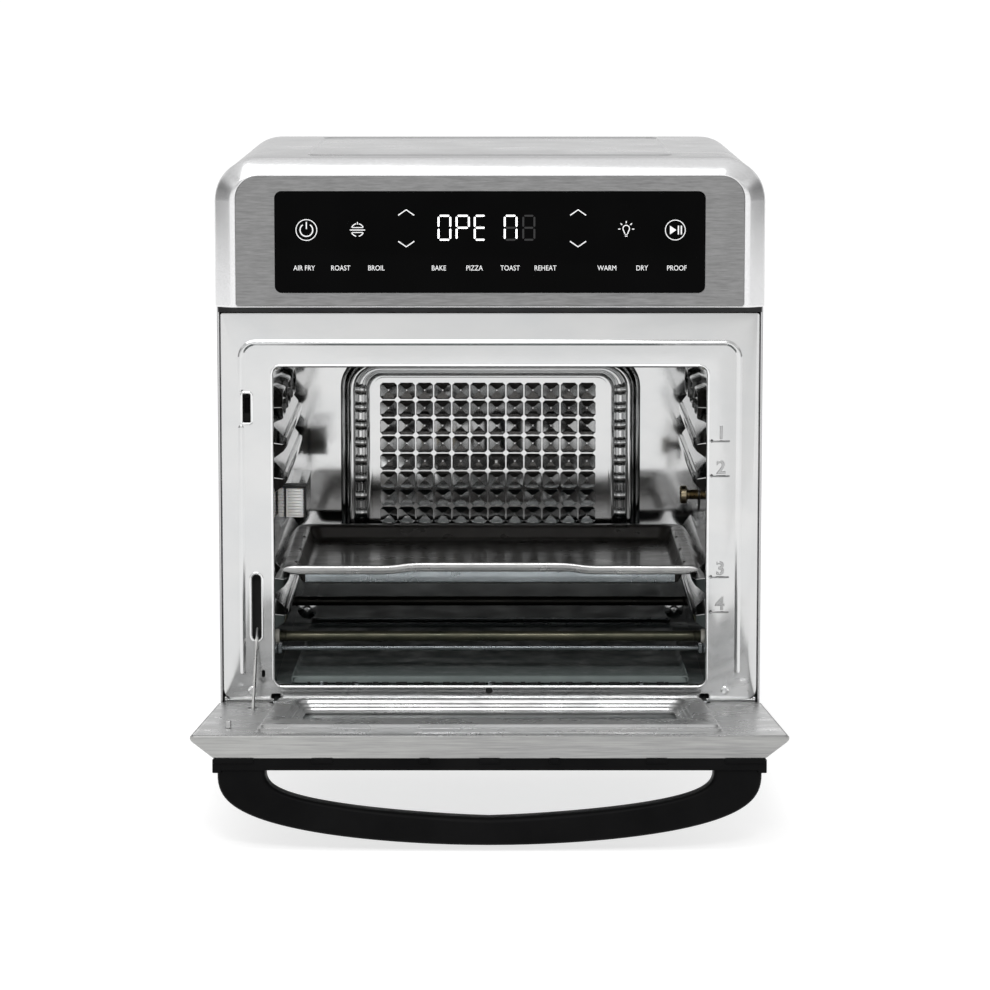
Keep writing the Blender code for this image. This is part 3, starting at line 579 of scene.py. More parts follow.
def make_other_materials():
    """Plastics, rubber, glass, ceramics and prints."""
    finish("black_plastic", (24, 4), (0.0030, 0.0030, 0.0032), (0.0058, 0.0058, 0.0060), (60, 4),
           (0.34, 0.46),
           ((1500, 2), 0.000018), gloss=0.03)
    finish("rubber", (80, 4), (0.012, 0.012, 0.012), (0.022, 0.021, 0.020), (120, 3), (0.72, 0.9),
           ((900, 3), 0.00003))
    finish("lamp_glass", (60, 3), (0.756, 0.730, 0.696), (0.950, 0.950, 0.930), (90, 3), (0.12, 0.24),
           ((300, 2), 0.00001), coat=0.5, clear=0.22, milky=0.3, milk_depth=(0.005, 0.004, 0.003))
    finish("white_ceramic", (90, 4), (0.70, 0.67, 0.60), (0.83, 0.81, 0.76), (120, 3), (0.4, 0.58),
           ((700, 3), 0.000015), coat=0.2)
    # Near black: the panes' printed border, and painted shade where holes, slots and gaps show dark.
    finish("black_print_and_painted_shade", (40, 3), (0.0015, 0.0015, 0.0015), (0.004, 0.004, 0.004), (60, 2), (0.8, 0.95))
    glass("clear_glass", (0.93, 0.96, 0.95), 0.0)
    glass("smoked_glass", (0.30, 0.33, 0.33), 0.0)
    glass("satin_glass", (0.42, 0.45, 0.45), 0.3)
    black_glass("black_glass", 0.0007)
    black_glass("display_window", 0.0022)
    plain_plastic("white_nylon", (0.66, 0.65, 0.62), (0.78, 0.77, 0.74), 0.42)
    plain_plastic("component_black", (0.012, 0.012, 0.013), (0.028, 0.028, 0.03), 0.45)
    lit_print("white_print", 0.72, 0.3)
    lit_print("segment_white", 0.95, 0.85)
    lit_print("ghost_segment", 0.004, 0.0)
    lit_print("filament_glow", 0.85, 0.25)
    circuit_board()


# Shell


def outer_wrap():
    """Folded sheet over both sides and the top, hemmed in front, with a rectangle pressed into the top."""
    bend, foot = 25, 20.0

    def arch(inset):
        points = [(-HALF_WIDTH + inset, foot)]
        points += arc((-HALF_WIDTH + bend, TOP - bend), bend - inset, 180, 90, 12)
        points += arc((HALF_WIDTH - bend, TOP - bend), bend - inset, 90, 0, 12)
        return points + [(HALF_WIDTH - inset, foot)]

    hem = ((1.1, 0.05), (0.5, 0.0), (0.1, 0.3), (0.0, 0.9), (0.0, 298.4), (0.3, 299.2), (0.8, 299.3))
    rings = [at_depth(arch(inset) + arch(1.4)[::-1], depth) for inset, depth in hem]
    line = at_height(rounded(-114, 114, 40, 276, 10, 10), TOP)
    made_of("outer_wrap_shell", "satin_silver", (skin, rings), (bead, line, 2.6, 0.75, (0, 0, 1), True),
            stands_for="outer_wrap", sharp=35)


def rear_cover():
    """Zinc-plated back with a raised middle, louvred slots and screws."""
    half, low, high = 168.2, 20.2, 379.3
    edge = centred(half, low, high, 2, 8, 24.2)
    flat, raised = 300.6, 313.9
    rings = [at_depth(centred(80.8, 73.2, 220.8, 9, 8), 313.1),
             at_depth(centred(91.0, 63, 231, 11, 8), flat)]
    rings += [at_depth(edge, 299.6), at_depth(edge, flat)]
    for reach, bottom, top, radius, depth in (
        (94.5, 59.5, 234.5, 14.5, 300.65), (92.5, 61.5, 232.5, 12.5, 301.4),
        (84.5, 69.5, 224.5, 10.5, 311.6), (82.5, 71.5, 222.5, 9, 313.2), (79.0, 75, 219, 8, raised),
    ):
        rings.append(at_depth(centred(reach, bottom, top, radius, 8), depth))
    places = [(side * 39, 102.5 + 24 * row, 27, raised) for row in range(5) for side in SIDES]
    places += [(-105 + 42 * column, 302.5, 13.5, flat) for column in range(6)]
    slots = []
    hood = ((-0.6, 3.4), (0.7, 3.2), (1.7, 1.9), (2.0, 0.4), (1.6, 0.2), (1.2, 1.6), (-0.4, 2.3))
    hoods = bmesh.new()
    for x, z, reach, depth in places:
        slot = rounded(x - reach, x + reach, z - 2.4, z + 2.4, 2.3)
        slots.append(shape(push, slot, depth - 3, depth + 3))
        ends = []
        for side in SIDES:
            ends.append([(x + side * (reach + 1.0 - rise * 0.35), depth + out, z + rise)
                         for out, rise in hood])
        skin(hoods, ends)
    cut = carve(shape(skin, rings), *slots)
    piece("rear_cover_shell", cut, "zinc_sheet", "rear_cover")
    piece("rear_louvre_hoods", hoods, "zinc_sheet", sharp=50)
    spots = ((-158, 60), (158, 60), (-158, 200), (158, 200), (-150, 340), (150, 340), (0, 368), (0, 36),
             (-100, 36))
    screws = [(screw, (x, 300.5, z), (0, 1, 0), 3.6, 2.2) for x, z in spots]
    made_of("rear_cover_screws", "black_oxide_and_painted_shade", *screws)


def cord_gland():
    """Ribbed grommet where the mains cord would leave."""
    centre = (130, 0, 50)
    ribs = ((3.4, 308.4), (3.4, 301.2), (8.6, 301.2), (8.8, 302.0), (8.8, 303.6), (8.2, 304.2),
            (6.4, 304.4), (6.2, 305.2), (6.9, 305.6), (6.9, 306.2), (6.1, 306.6), (6.1, 307.2),
            (6.6, 307.6), (6.4, 308.6), (4.0, 308.9))
    plug = ((3.3, 301.4), (3.3, 306.6))
    made_of("cord_gland_ribbed", "rubber", (turn, ribs, centre, "y", 32, True),
            (turn, plug, centre, "y", 24),
            stands_for="cord_gland")


def base_plate():
    """Underside sheet with punched vents, stiffening ribs and screws."""
    under, down = 20.35, (0, 0, -1)
    vents = []
    for row in range(7):
        for column in range(5):
            x, y = -84 + 42 * column, 96 + 16 * row
            vents.append(shape(push, rounded(x - 13, x + 13, y - 2, y + 2, 1.9), 18, 24, "z"))
    bm = carve(shape(block, (-168, 2.0, 20.3), (168, 298.3, 21.3)), *vents)
    for y in (60, 236):
        rib(bm, (-112, y, under), (112, y, under), 9, 0.9, down)
    for x in (-118, 118):
        rib(bm, (x, 72, under), (x, 224, under), 9, 0.9, down)
    piece("base_plate_sheet", bm, "zinc_sheet", "base_plate")
    screws = [(screw, (x, y, under), down, 3.2, 1.8) for x in (-160, 0, 160) for y in (10, 150, 290)]
    made_of("base_plate_screws", "black_oxide_and_painted_shade", *screws)


def feet():
    """Moulded feet with a stepped body, a rubber pad and a screw up the middle."""
    body = ((5.0, 4.0), (5.0, 2.4), (9.0, 2.0), (10.4, 2.2), (10.9, 3.0), (12.2, 16.0), (12.8, 16.6),
            (12.8, 19.0), (12.3, 19.9), (4.0, 19.9))
    pad = ((4.2, 2.3), (4.2, 0.6), (4.6, 0.15), (6.0, 0.0), (8.6, 0.0), (9.4, 0.25), (9.7, 0.8), (9.7, 2.3))
    for row, y in (("front", 30), ("rear", 270)):
        for hand, x in (("left", -140), ("right", 140)):
            name = f"foot_{row}_{hand}"
            ribs = []
            for c, s in circle(12):
                line = ((x + 11.0 * c, y + 11.0 * s, 5.0), (x + 12.0 * c, y + 12.0 * s, 15.4))
                ribs.append((tube, line, 0.55, 8))
            made_of(f"{name}_body", "black_plastic", (turn, body, (x, y, 0), "z", 40, True), *ribs,
                    stands_for=name)
            made_of(f"{name}_pad", "rubber", (turn, pad, (x, y, 0), "z", 40, True))
            made_of(f"{name}_screw", "black_oxide_and_painted_shade", (screw, (x, y, 4.2), (0, 0, -1), 3.6, 1.9))


# Front frame


def front_frame():
    """Mirror-bright front plate round the mouth, with hemmed edges, a long pressed bead and punched slots."""
    rings = []
    for inset, depth in ((0.0, 4.6), (0.0, 1.5), (0.28, 0.7), (0.85, 0.15), (1.7, 0.0)):
        low, high = FRAME_LOW + inset, FRAME_HIGH - inset * 0.6
        rings.append(at_depth(centred(167.9 - inset, low, high, 7.5 - inset, 8, 2 - inset), depth))
    plunger_slot = (-154.0, -149.0, 216.8, 234.9, 1.0)
    rod_slot = (-149.2, -143.3, 79.4, 121.2, 2.9)
    holes = [centred(MOUTH_HALF + 1.5, MOUTH_LOW - 1.5, MOUTH_HIGH + 1.5, 6.0, 8)]
    holes += [rounded(*slot) for slot in (plunger_slot, rod_slot, (-143.4, -141.2, 55.8, 60.4, 1.0))]
    holes += [rounded(side * HINGE_X - 3.0, side * HINGE_X + 3.0, 40, 45.4, 0.8) for side in SIDES]
    cut = carve(shape(skin, rings), *[shape(push, hole, -2, 9) for hole in holes])
    piece("front_plate", cut, "frame_steel", "front_frame", sharp=24)

    # The lip is pressed from the plate but takes a lighter steel: painted highlight round the mouth.
    lip = ((1.9, 0.3), (1.6, -0.1), (1.1, -0.22), (0.6, -0.1), (0.2, 0.3), (0.0, 1.0), (0.0, 7.0),
           (0.9, 7.0), (1.0, 1.6), (1.7, 0.8))
    rings = []
    for grow, depth in lip:
        outline = centred(MOUTH_HALF + grow, MOUTH_LOW - grow, MOUTH_HIGH + grow, 4.5 + grow, 8)
        rings.append(at_depth(outline, depth))
    made_of("mouth_lip", "screw_steel_and_painted_highlight", (skin, rings, True), sharp=50)

    radius, across, top = 9.5, 155.0, 266.8
    upper = [(across, 0, 58.0), (across, 0, top - radius)]
    upper += [(x, 0, z) for x, z in arc((across - radius, top - radius), radius, 0, 90, 14)[1:]]
    upper += [(x, 0, z) for x, z in arc((radius - across, top - radius), radius, 90, 180, 14)]
    upper = spaced(upper + [(-across, 0, 236.1)], 4.4)
    forward = (0, -1, 0)
    made_of("frame_bead", "polished_steel", (bead, upper, 4.2, 0.95, forward),
            (rib, (-across, 0, 215.5), (-across, 0, 57.4), 4.2, 0.95, forward), sharp=50)

    # The slots' rims take the same lighter steel: painted highlight.
    rim = ((1.6, 0.15), (1.3, -0.25), (0.75, -0.42), (0.2, -0.2), (0.0, 0.4), (0.0, 4.4), (0.5, 4.4),
           (0.6, 0.6))
    rims = []
    for x0, x1, z0, z1, radius in (plunger_slot, rod_slot):
        rings = []
        for grow, depth in rim:
            outline = rounded(x0 - grow, x1 + grow, z0 - grow, z1 + grow, radius + grow)
            rings.append(at_depth(outline, depth))
        rims.append((skin, rings, True))
    made_of("slot_rims", "screw_steel_and_painted_highlight", *rims, sharp=50)

    # Black sheets behind the plate's sides: painted shade seen through its slots.
    backing = [(block, (side * 166.0, 4.8, 24.0), (side * 135.4, 5.4, 285.0)) for side in SIDES]
    made_of("frame_painted_shade_backing", "black_print_and_painted_shade", *backing)
    flanks = [(block, (side * 166.0 - 0.9, 1.2, 24.2), (side * 166.0 + 0.9, 5.0, 43.0)) for side in SIDES]
    made_of("frame_foot", "polished_steel", *flanks, (block, (-166.5, 1.6, 24.0), (166.5, 2.6, 41.8)),
            bevel=0.3)


def frame_fixings():
    """Screws and embossed shelf numbers on the front plate."""
    forward = (0, -1, 0)
    screws = [(screw, (x, 0.1, 47.4), forward, 2.7, 1.0) for x in (-149.4, 147.5)]
    made_of("frame_screws", "screw_steel_and_painted_highlight", *screws)
    numbers, dots = [], []
    for number, line in zip("1234", SHELF_MARKS):
        numbers.append((lettering, number, 11.6, (144.0, line + 5.2), 0.0, 0.55, 0.34))
        numbers.append((rib, (137.2, 0, line), (149.6, 0, line), 1.5, 1.0, forward))
        dots.append((turn, ((1.0, -0.35), (1.0, 0.2)), (138.2, 0, line + 0.2), "y", 16))
    # The numbers and their lines take a steel darker than the plate they are pressed in: painted shade.
    made_of("shelf_numbers", "pressed_steel_painted_shade", *numbers, sharp=50)
    # The plate's hole at the bottom middle is a black disc: painted shade.
    hole = (turn, ((2.2, -0.1), (2.2, 0.2)), (-0.6, 0, 47.4), "y", 20)
    made_of("shelf_marks", "black_print_and_painted_shade", *dots, hole)


def door_switch_parts():
    """Lever of the door switch in its slot, with the switch's case and terminals behind the plate."""
    lever = [(4.0, 231.6), (11.0, 231.6), (14.0, 229.0), (14.0, 225.0), (11.0, 222.6), (4.0, 222.6)]
    made_of("plunger_lever", "black_plastic", (push, lever, -153.0, -150.0, "x"),
            stands_for="switch_plunger",
            body="plunger", bevel=0.5)
    made_of("door_switch_case", "black_plastic", (block, (-160, 12, 215), (-146, 29, 237)),
            stands_for="door_switch", bevel=0.6)
    screws = [(screw, (-160.05, 20, z), (-1, 0, 0), 2.0, 1.0) for z in (219, 233)]
    tabs = [(block, (-154.2, 28.8, z - 0.4), (-150.6, 35.0, z + 0.4)) for z in (221, 226, 231)]
    made_of("door_switch_terminals", "brass", *screws, *tabs)


# Control panel


def bezel():
    """Silver front casting round the panel, with a sloped, rounded shoulder."""
    def ring(inset, depth, low=0.0):
        return at_depth(centred(170.0 - inset, 289.5 + low, 381.1 - inset, 1.2, 12, 26.0 - inset), depth)

    opening = centred(157.2, 290.3, 371.4, 1.5, 12, 14.5)
    inner = centred(155.4, 291.4, 369.6, 1.0, 12, 13.0)
    shoulder = ((0.9, -1.3), (0.25, -1.4), (0.0, -1.8), (0.0, -2.7), (0.3, -3.7), (1.2, -4.9),
                (5.2, -8.5, 0.1), (9.4, -11.7, 0.2), (10.6, -12.3, 0.3), (11.8, -12.5, 0.4))
    rings = [ring(*station) for station in shoulder]
    rings += [at_depth(opening, -12.5), at_depth(opening, -11.6), at_depth(inner, -11.4),
              at_depth(inner, -1.3)]
    made_of("control_bezel_casting", "bezel_silver", (skin, rings, True), stands_for="control_bezel",
            sharp=50)
    # Black ring and strip in the gaps round and under the bezel: painted shade in the gaps.
    gap_shade_ring = [ring(*station) for station in ((0.35, -1.3), (0.35, -0.1), (4.0, -0.1), (4.0, -1.3))]
    gap_shade_strip = (block, (-168.6, -0.9, 285.9), (168.6, 0.5, 289.3))
    made_of("panel_gap_painted_shade", "black_oxide_and_painted_shade", (skin, gap_shade_ring, True), gap_shade_strip)


def control_plate():
    """Brushed plate with the touch glass set flush in it."""
    rings = []
    for i, depth in ((0.9, -11.5), (0.0, -11.7), (0.0, -12.6), (0.35, -12.95), (0.9, -13.0)):
        rings.append(at_depth(centred(156.8 - i, 290.6 + i, 371.0 - i, 1.6, 12, 14.2 - i), depth))
    for i, depth in ((0.7, -13.0), (0.25, -12.9), (0.0, -12.5), (0.0, -11.5)):
        rings.append(at_depth(centred(132.4 + i, 299.0 - i, 361.3 + i, 4.2 + i, 12), depth))
    made_of("control_plate_sheet", "brushed_steel", (skin, rings, True), stands_for="control_plate",
            sharp=35)
    rings = []
    for i, depth in ((0.0, -11.0), (0.0, -13.1), (0.2, -13.32), (0.6, -13.4)):
        rings.append(at_depth(centred(132.2 - i, 299.2 + i, 361.1 - i, 4.0, 12), depth))
    made_of("touch_glass", "black_glass", (skin, rings), stands_for="control_glass", sharp=35)


SEGMENTS = {
    "a": ((0, 1), (1, 1)), "b": ((1, 1), (1, 0.5)), "c": ((1, 0.5), (1, 0)), "d": ((0, 0), (1, 0)),
    "e": ((0, 0.5), (0, 0)), "f": ((0, 1), (0, 0.5)), "g": ((0, 0.5), (1, 0.5)),
}
DIGITS = (("abcdef", -32.2, -23.8), ("abefg", -21.1, -12.4), ("adefg", -9.95, -2.1), ("abcef", 8.5, 16.9))
DIGIT_LOW, DIGIT_HIGH = 331.1, 347.0
PRINT_FACE = -13.38


def segment_digit(bm, lit, x0, x1, depth):
    """The named segments of one display digit, as bars with pointed ends."""
    width, gap = 1.15, 0.95
    reach = width / 2
    for name in lit:
        ends = []
        for across, up in SEGMENTS[name]:
            x = x0 + reach + across * (x1 - x0 - width)
            ends.append(Vector((x, DIGIT_LOW + reach + up * (DIGIT_HIGH - DIGIT_LOW - width))))
        start, end = ends
        along = (end - start).normalized()
        start += along * gap
        end -= along * gap
        across = Vector((-along.y, along.x)) * reach
        tip = along * reach * 0.7
        points = [start - tip, start + across, end + across, end + tip, end - across, start - across]
        push(bm, [(p.x, p.y) for p in points], depth - 0.06, depth)


def panel_prints():
    """Generic cooking words, symbols and display segments on the touch glass."""
    row = PANEL_ROW
    power, rack, bulb, play = -112.9, -81.5, 83.8, 114.0
    bm = bmesh.new()

    def mark(points, width, closed=False):
        stroke(bm, points, width, PRINT_FACE, closed)

    words = (("AIR FRY", -114.4), ("ROAST", -92.0), ("BROIL", -70.0), ("BAKE", -31.5), ("PIZZA", -9.6),
             ("TOAST", 12.4), ("REHEAT", 34.1), ("WARM", 72.1), ("DRY", 93.6), ("PROOF", 115.0))
    for word, x in words:
        lettering(bm, word, 4.45, (x, 314.1), PRINT_FACE, 0.05, 0.0, 0.86)
    for x, reach in ((power, 6.4), (play, 6.1)):
        mark(arc((x, row), reach, 0, 360, 48)[:-1], 0.5, True)
    mark(arc((power, row), 3.9, 125, 415, 30), 0.7)
    mark([(power, row + 5.0), (power, row + 0.6)], 0.7)
    push(bm, [(110.7, row - 2.7), (110.7, row + 2.7), (114.6, row)], PRINT_FACE - 0.05, PRINT_FACE)
    for x in (115.9, 117.7):
        mark([(x, row - 2.7), (x, row + 2.7)], 0.8)
    for start in (24, 102, 204, 282):
        mark(arc((rack, row), 3.9, start, start + 54, 9), 0.6)
    mark([(-86.2, row), (-76.8, row)], 0.6)
    for z in (row + 1.5, row - 1.5):
        mark([(rack - 3.4, z), (rack + 3.4, z)], 0.5)
    mark([(rack, row + 3.4), (rack, row + 4.9)], 0.6)
    for x in (-51.5, 54.2):
        for tip, base in ((350.1, 346.7), (327.3, 330.7)):
            mark([(x - 4.9, base), (x, tip), (x + 4.9, base)], 0.7)
    neck = row - 2.4
    mark([(bulb - 0.8, neck)] + arc((bulb, row + 0.9), 2.0, 215, -35, 20) + [(bulb + 0.8, neck)], 0.6)
    for drop in (2.9, 3.8):
        mark([(bulb - 0.8, row - drop), (bulb + 0.8, row - drop)], 0.5)
    for near, far in zip(arc((bulb, row + 0.6), 3.6, 0, 180, 4), arc((bulb, row + 0.6), 4.9, 0, 180, 4)):
        mark([near, far], 0.65)
    piece("panel_symbols", bm, "white_print", sharp=20)

    window = rounded(-35.2, 38.8, 327.9, 350.1, 0.8)
    made_of("display_window", "display_window", (push, window, PRINT_FACE + 0.03, PRINT_FACE - 0.01))
    lit = [(segment_digit, *digit, PRINT_FACE - 0.05) for digit in DIGITS]
    made_of("display_digits", "segment_white", *lit, sharp=20)
    unlit = [(segment_digit, *digit, PRINT_FACE - 0.02)
             for digit in (("abcdefg", 19.9, 27.9), ("dg", 8.5, 16.9))]
    made_of("display_unlit", "ghost_segment", *unlit, sharp=20)


# Cavity


def cavity_walls():
    """Polished side walls of the chamber with their pressed shelf rails and hexagon beads."""
    stations = ((136.8, 12, -14.0, 9.0), (136.2, 12.6, -13.4, 8.0), (130.2, 17, -9.4, 1.0),
                (129.6, 18, -8.8, -0.1), (128.0, 20, -6.6, -0.5), (127.5, 21.5, -5.8, -1.2))
    nose, depth = 4.0, 238
    for side, name in zip(SIDES, ("left", "right")):
        sheet = (block, (side * CAVITY_HALF, 7.5, 45.6), (side * 137.3, CAVITY_BACK, CAVITY_ROOF))
        made_of(f"cavity_wall_{name}_sheet", "mirror_steel", sheet, stands_for=f"cavity_wall_{name}")
        rails = []
        for level in RACK_LEVELS:
            rings = []
            for x, start, low, high in stations:
                end, middle = depth - start, level + (low + high) / 2
                bottom = [(start + nose, level + low), (end - nose, level + low), (end, middle)]
                top = [(end - nose, level + high), (start + nose, level + high), (start, middle)]
                rings.append([(side * x, y, z) for y, z in bottom + top])
            rails.append((skin, rings))
        for y in (52, 114, 176):
            hexagon = [(-27, 0), (-15, -8), (15, -8), (27, 0), (15, 8), (-15, 8)]
            path = [(side * 136.4, y + along, 223.5 + up) for along, up in hexagon]
            rails.append((bead, path, 7.0, 6.0, (-side, 0, 0), True))
        made_of(f"rack_rails_{name}", "mirror_steel", *rails, stands_for=f"rack_guide_{name}", bevel=0.5,
                sharp=40)


def cavity_shell():
    """Roof, dark floor and back of the chamber, with two screws in dimpled seats."""
    made_of("cavity_roof_sheet", "mirror_steel",
            (block, (-CAVITY_HALF, 7.5, 253.2), (CAVITY_HALF, CAVITY_BACK, 254.0)),
            stands_for="cavity_roof")
    made_of("cavity_floor_sheet", "floor_steel",
            (block, (-CAVITY_HALF, 7.5, 44.5), (CAVITY_HALF, CAVITY_BACK, 45.3)),
            stands_for="cavity_floor")
    sheet = shape(block, (-137.3, 258.3, 44.5), (137.3, 259.1, 254.1))
    sheet = carve(sheet, shape(push, centred(95, 90, 226, 20), 256, 262))
    seat = ((1.0, 257.0), (2.0, 256.9), (4.2, 257.5), (5.8, 258.1), (7.0, 258.35), (7.0, 258.6),
            (1.0, 258.6))
    for x in (-127, 127):
        turn(sheet, seat, (x, 0, 56), "y", 32, True)
    piece("cavity_back_sheet", sheet, "mirror_steel", "cavity_back", sharp=50)
    screws = [(screw, (x, 257.2, 56), (0, -1, 0), 3.0, 1.8) for x in (-127, 127)]
    made_of("cavity_back_screws", "screw_steel_and_painted_highlight", *screws)


GRID_FLAT = 237.45
PITCH_X, PITCH_Z, COLUMNS, ROWS = 12.33, 12.2, 12, 9
GRID_LEFT, GRID_TOP = -1.8 - PITCH_X * COLUMNS / 2, 216.4


def cover_ring(half, radius, depth):
    """One ring of the fan cover. Its height follows its width."""
    middle, tall = 158.5, 74.5 - 0.6 * (103.0 - half)
    return at_depth(centred(half, middle - tall, middle + tall, radius, 8), depth)


def pyramid(bm, square, x, z):
    """One rounded pyramid of the cover's grid, sunk into the square of flat round it."""
    half_x, half_z = PITCH_X / 2, PITCH_Z / 2
    signs = ((-1, -1), (1, -1), (1, 1), (-1, 1))
    edge, slope = [], []
    for line, reach, cut, sunk in ((edge, 0.935, 0.66, 0.0), (slope, 0.885, 0.63, 0.5)):
        for a, b in signs:
            near = (x + a * half_x * reach, GRID_FLAT + sunk, z + b * half_z * cut)
            far = (x + a * half_x * cut, GRID_FLAT + sunk, z + b * half_z * reach)
            line += [bm.verts.new(p) for p in ((near, far) if a * b > 0 else (far, near))]
    inner = [bm.verts.new((x + a * half_x * 0.58, GRID_FLAT + 1.45, z + b * half_z * 0.58))
             for a, b in signs]
    tip = [bm.verts.new((x + a * 0.3, GRID_FLAT + 3.3, z + b * 0.3)) for a, b in signs]
    for k in range(4):
        n = (k + 1) % 4
        for corners in (
            (square[k], square[n], edge[2 * n], edge[2 * k + 1]),
            (square[k], edge[2 * k + 1], edge[2 * k]),
            (edge[2 * k], edge[2 * k + 1], slope[2 * k + 1], slope[2 * k]),
            (edge[2 * k + 1], edge[2 * n], slope[2 * n], slope[2 * k + 1]),
            (slope[2 * k], slope[2 * k + 1], inner[k]),
            (slope[2 * k + 1], slope[2 * n], inner[n], inner[k]),
            (inner[k], inner[n], tip[n], tip[k]),
        ):
            bm.faces.new(corners)
    bm.faces.new(tip)


def fan_cover():
    """Pressed cover over the convection fan. A grid of rounded pyramids fills its middle."""
    stations = (
        (103.0, 22, 257.9), (102.6, 22, 257.2), (100.6, 20.5, 256.9), (99.4, 19.5, 256.0),
        (98.9, 19, 254.4), (97.6, 18, 241.0), (97.2, 18, 238.6), (96.3, 17.4, 237.0), (94.8, 16.6, 236.5),
        (93.2, 15.8, 237.0), (92.4, 15, 238.4), (91.4, 14.5, 244.2), (90.6, 14, 245.6), (88.6, 13, 246.2),
        (86.6, 12, 245.6), (85.8, 11.4, 244.2), (84.8, 10.6, 239.0), (84.2, 10.2, 237.9),
        (83.0, 9.4, 237.3), (81.4, 8.6, 237.3), (80.4, 8.0, GRID_FLAT),
    )
    bm = bmesh.new()
    skin(bm, [cover_ring(*station) for station in stations], caps=False)
    dome = []
    for angle in range(10, 86, 15):
        turned = math.radians(angle)
        dome.append((4.3 * math.cos(turned), 247.6 - 4.0 * math.sin(turned)))
    for side in SIDES:
        for row in range(ROWS):
            turn(bm, dome, (side * 88.6, 0, GRID_TOP - PITCH_Z * (row + 0.5)), "y", 24)
    piece("fan_cover_pressing", bm, "mirror_steel", "fan_cover", sharp=60)

    bm = bmesh.new()
    corners = []
    for j in range(ROWS + 1):
        z = GRID_TOP - PITCH_Z * j
        corners.append([bm.verts.new((GRID_LEFT + PITCH_X * i, GRID_FLAT, z)) for i in range(COLUMNS + 1)])
    for j in range(ROWS):
        for i in range(COLUMNS):
            square = [corners[j + 1][i], corners[j + 1][i + 1], corners[j][i + 1], corners[j][i]]
            pyramid(bm, square, GRID_LEFT + PITCH_X * (i + 0.5), GRID_TOP - PITCH_Z * (j + 0.5))
    border = [bm.verts.new(point) for point in cover_ring(80.6, 8.2, GRID_FLAT)]
    loop = [bm.edges.new(pair) for pair in zip(border, border[1:] + border[:1])]
    around = loop + [line for line in bm.edges if line.is_boundary]
    bmesh.ops.triangle_fill(bm, use_beauty=True, use_dissolve=False, edges=around)
    piece("fan_cover_grid", bm, "mirror_steel", sharp=15)


def heaters():
    """Four sheathed elements with ceramic ends and their terminals."""
    ceramic = ((3.3, 135.2), (4.2, 135.3), (4.6, 135.8), (4.6, 143.6), (4.2, 144.4), (2.0, 144.8))
    # Every element but the lower front one takes the darker sheath, which is painted shade.
    for name, y, z, look in (
        ("heater_lower_front", 58, 72, "heater_steel"), ("heater_lower_rear", 196, 72, "heater_steel_painted_shade"),
        ("heater_upper_front", 70, 247.2, "heater_steel_painted_shade"),
        ("heater_upper_rear", 185, 247.2, "heater_steel_painted_shade"),
    ):
        centre = (0, y, z)
        rolls, ends, terminals = [], [], []
        for side in SIDES:
            for x in (131.0, 133.4):
                roll = ((3.3, side * x - 0.6), (3.7, side * x), (3.3, side * x + 0.6))
                rolls.append((turn, roll, centre, "x"))
            ends.append((turn, [(radius, side * along) for radius, along in ceramic], centre, "x"))
            terminals.append((block, (side * 144.6, y - 0.4, z - 3), (side * 153.8, y + 0.4, z + 3)))
            terminals.append((turn, ((1.4, side * 144.2), (1.4, side * 148.0)), centre, "x", 16))
        made_of(f"{name}_sheath", look, (turn, ((3.25, -135.6), (3.25, 135.6)), centre, "x"), *rolls,
                stands_for=name)
        made_of(f"{name}_ceramics", "white_ceramic", *ends)
        made_of(f"{name}_terminals", "brass", *terminals, bevel=0.15)


def painted_heater_reflection():
    """Bright strip on two tabs just under the lower front element: a painted reflection of the element."""
    tabs = [(block, (side * 133.5, 55.0, 61.0), (side * 136.4, 62.0, 67.0)) for side in SIDES]
    made_of("heater_painted_reflection_strip", "rivet_steel_and_painted_reflection", (block, (-134.5, 57.0, 62.9), (134.5, 60.0, 65.3)), *tabs,
            bevel=0.6)


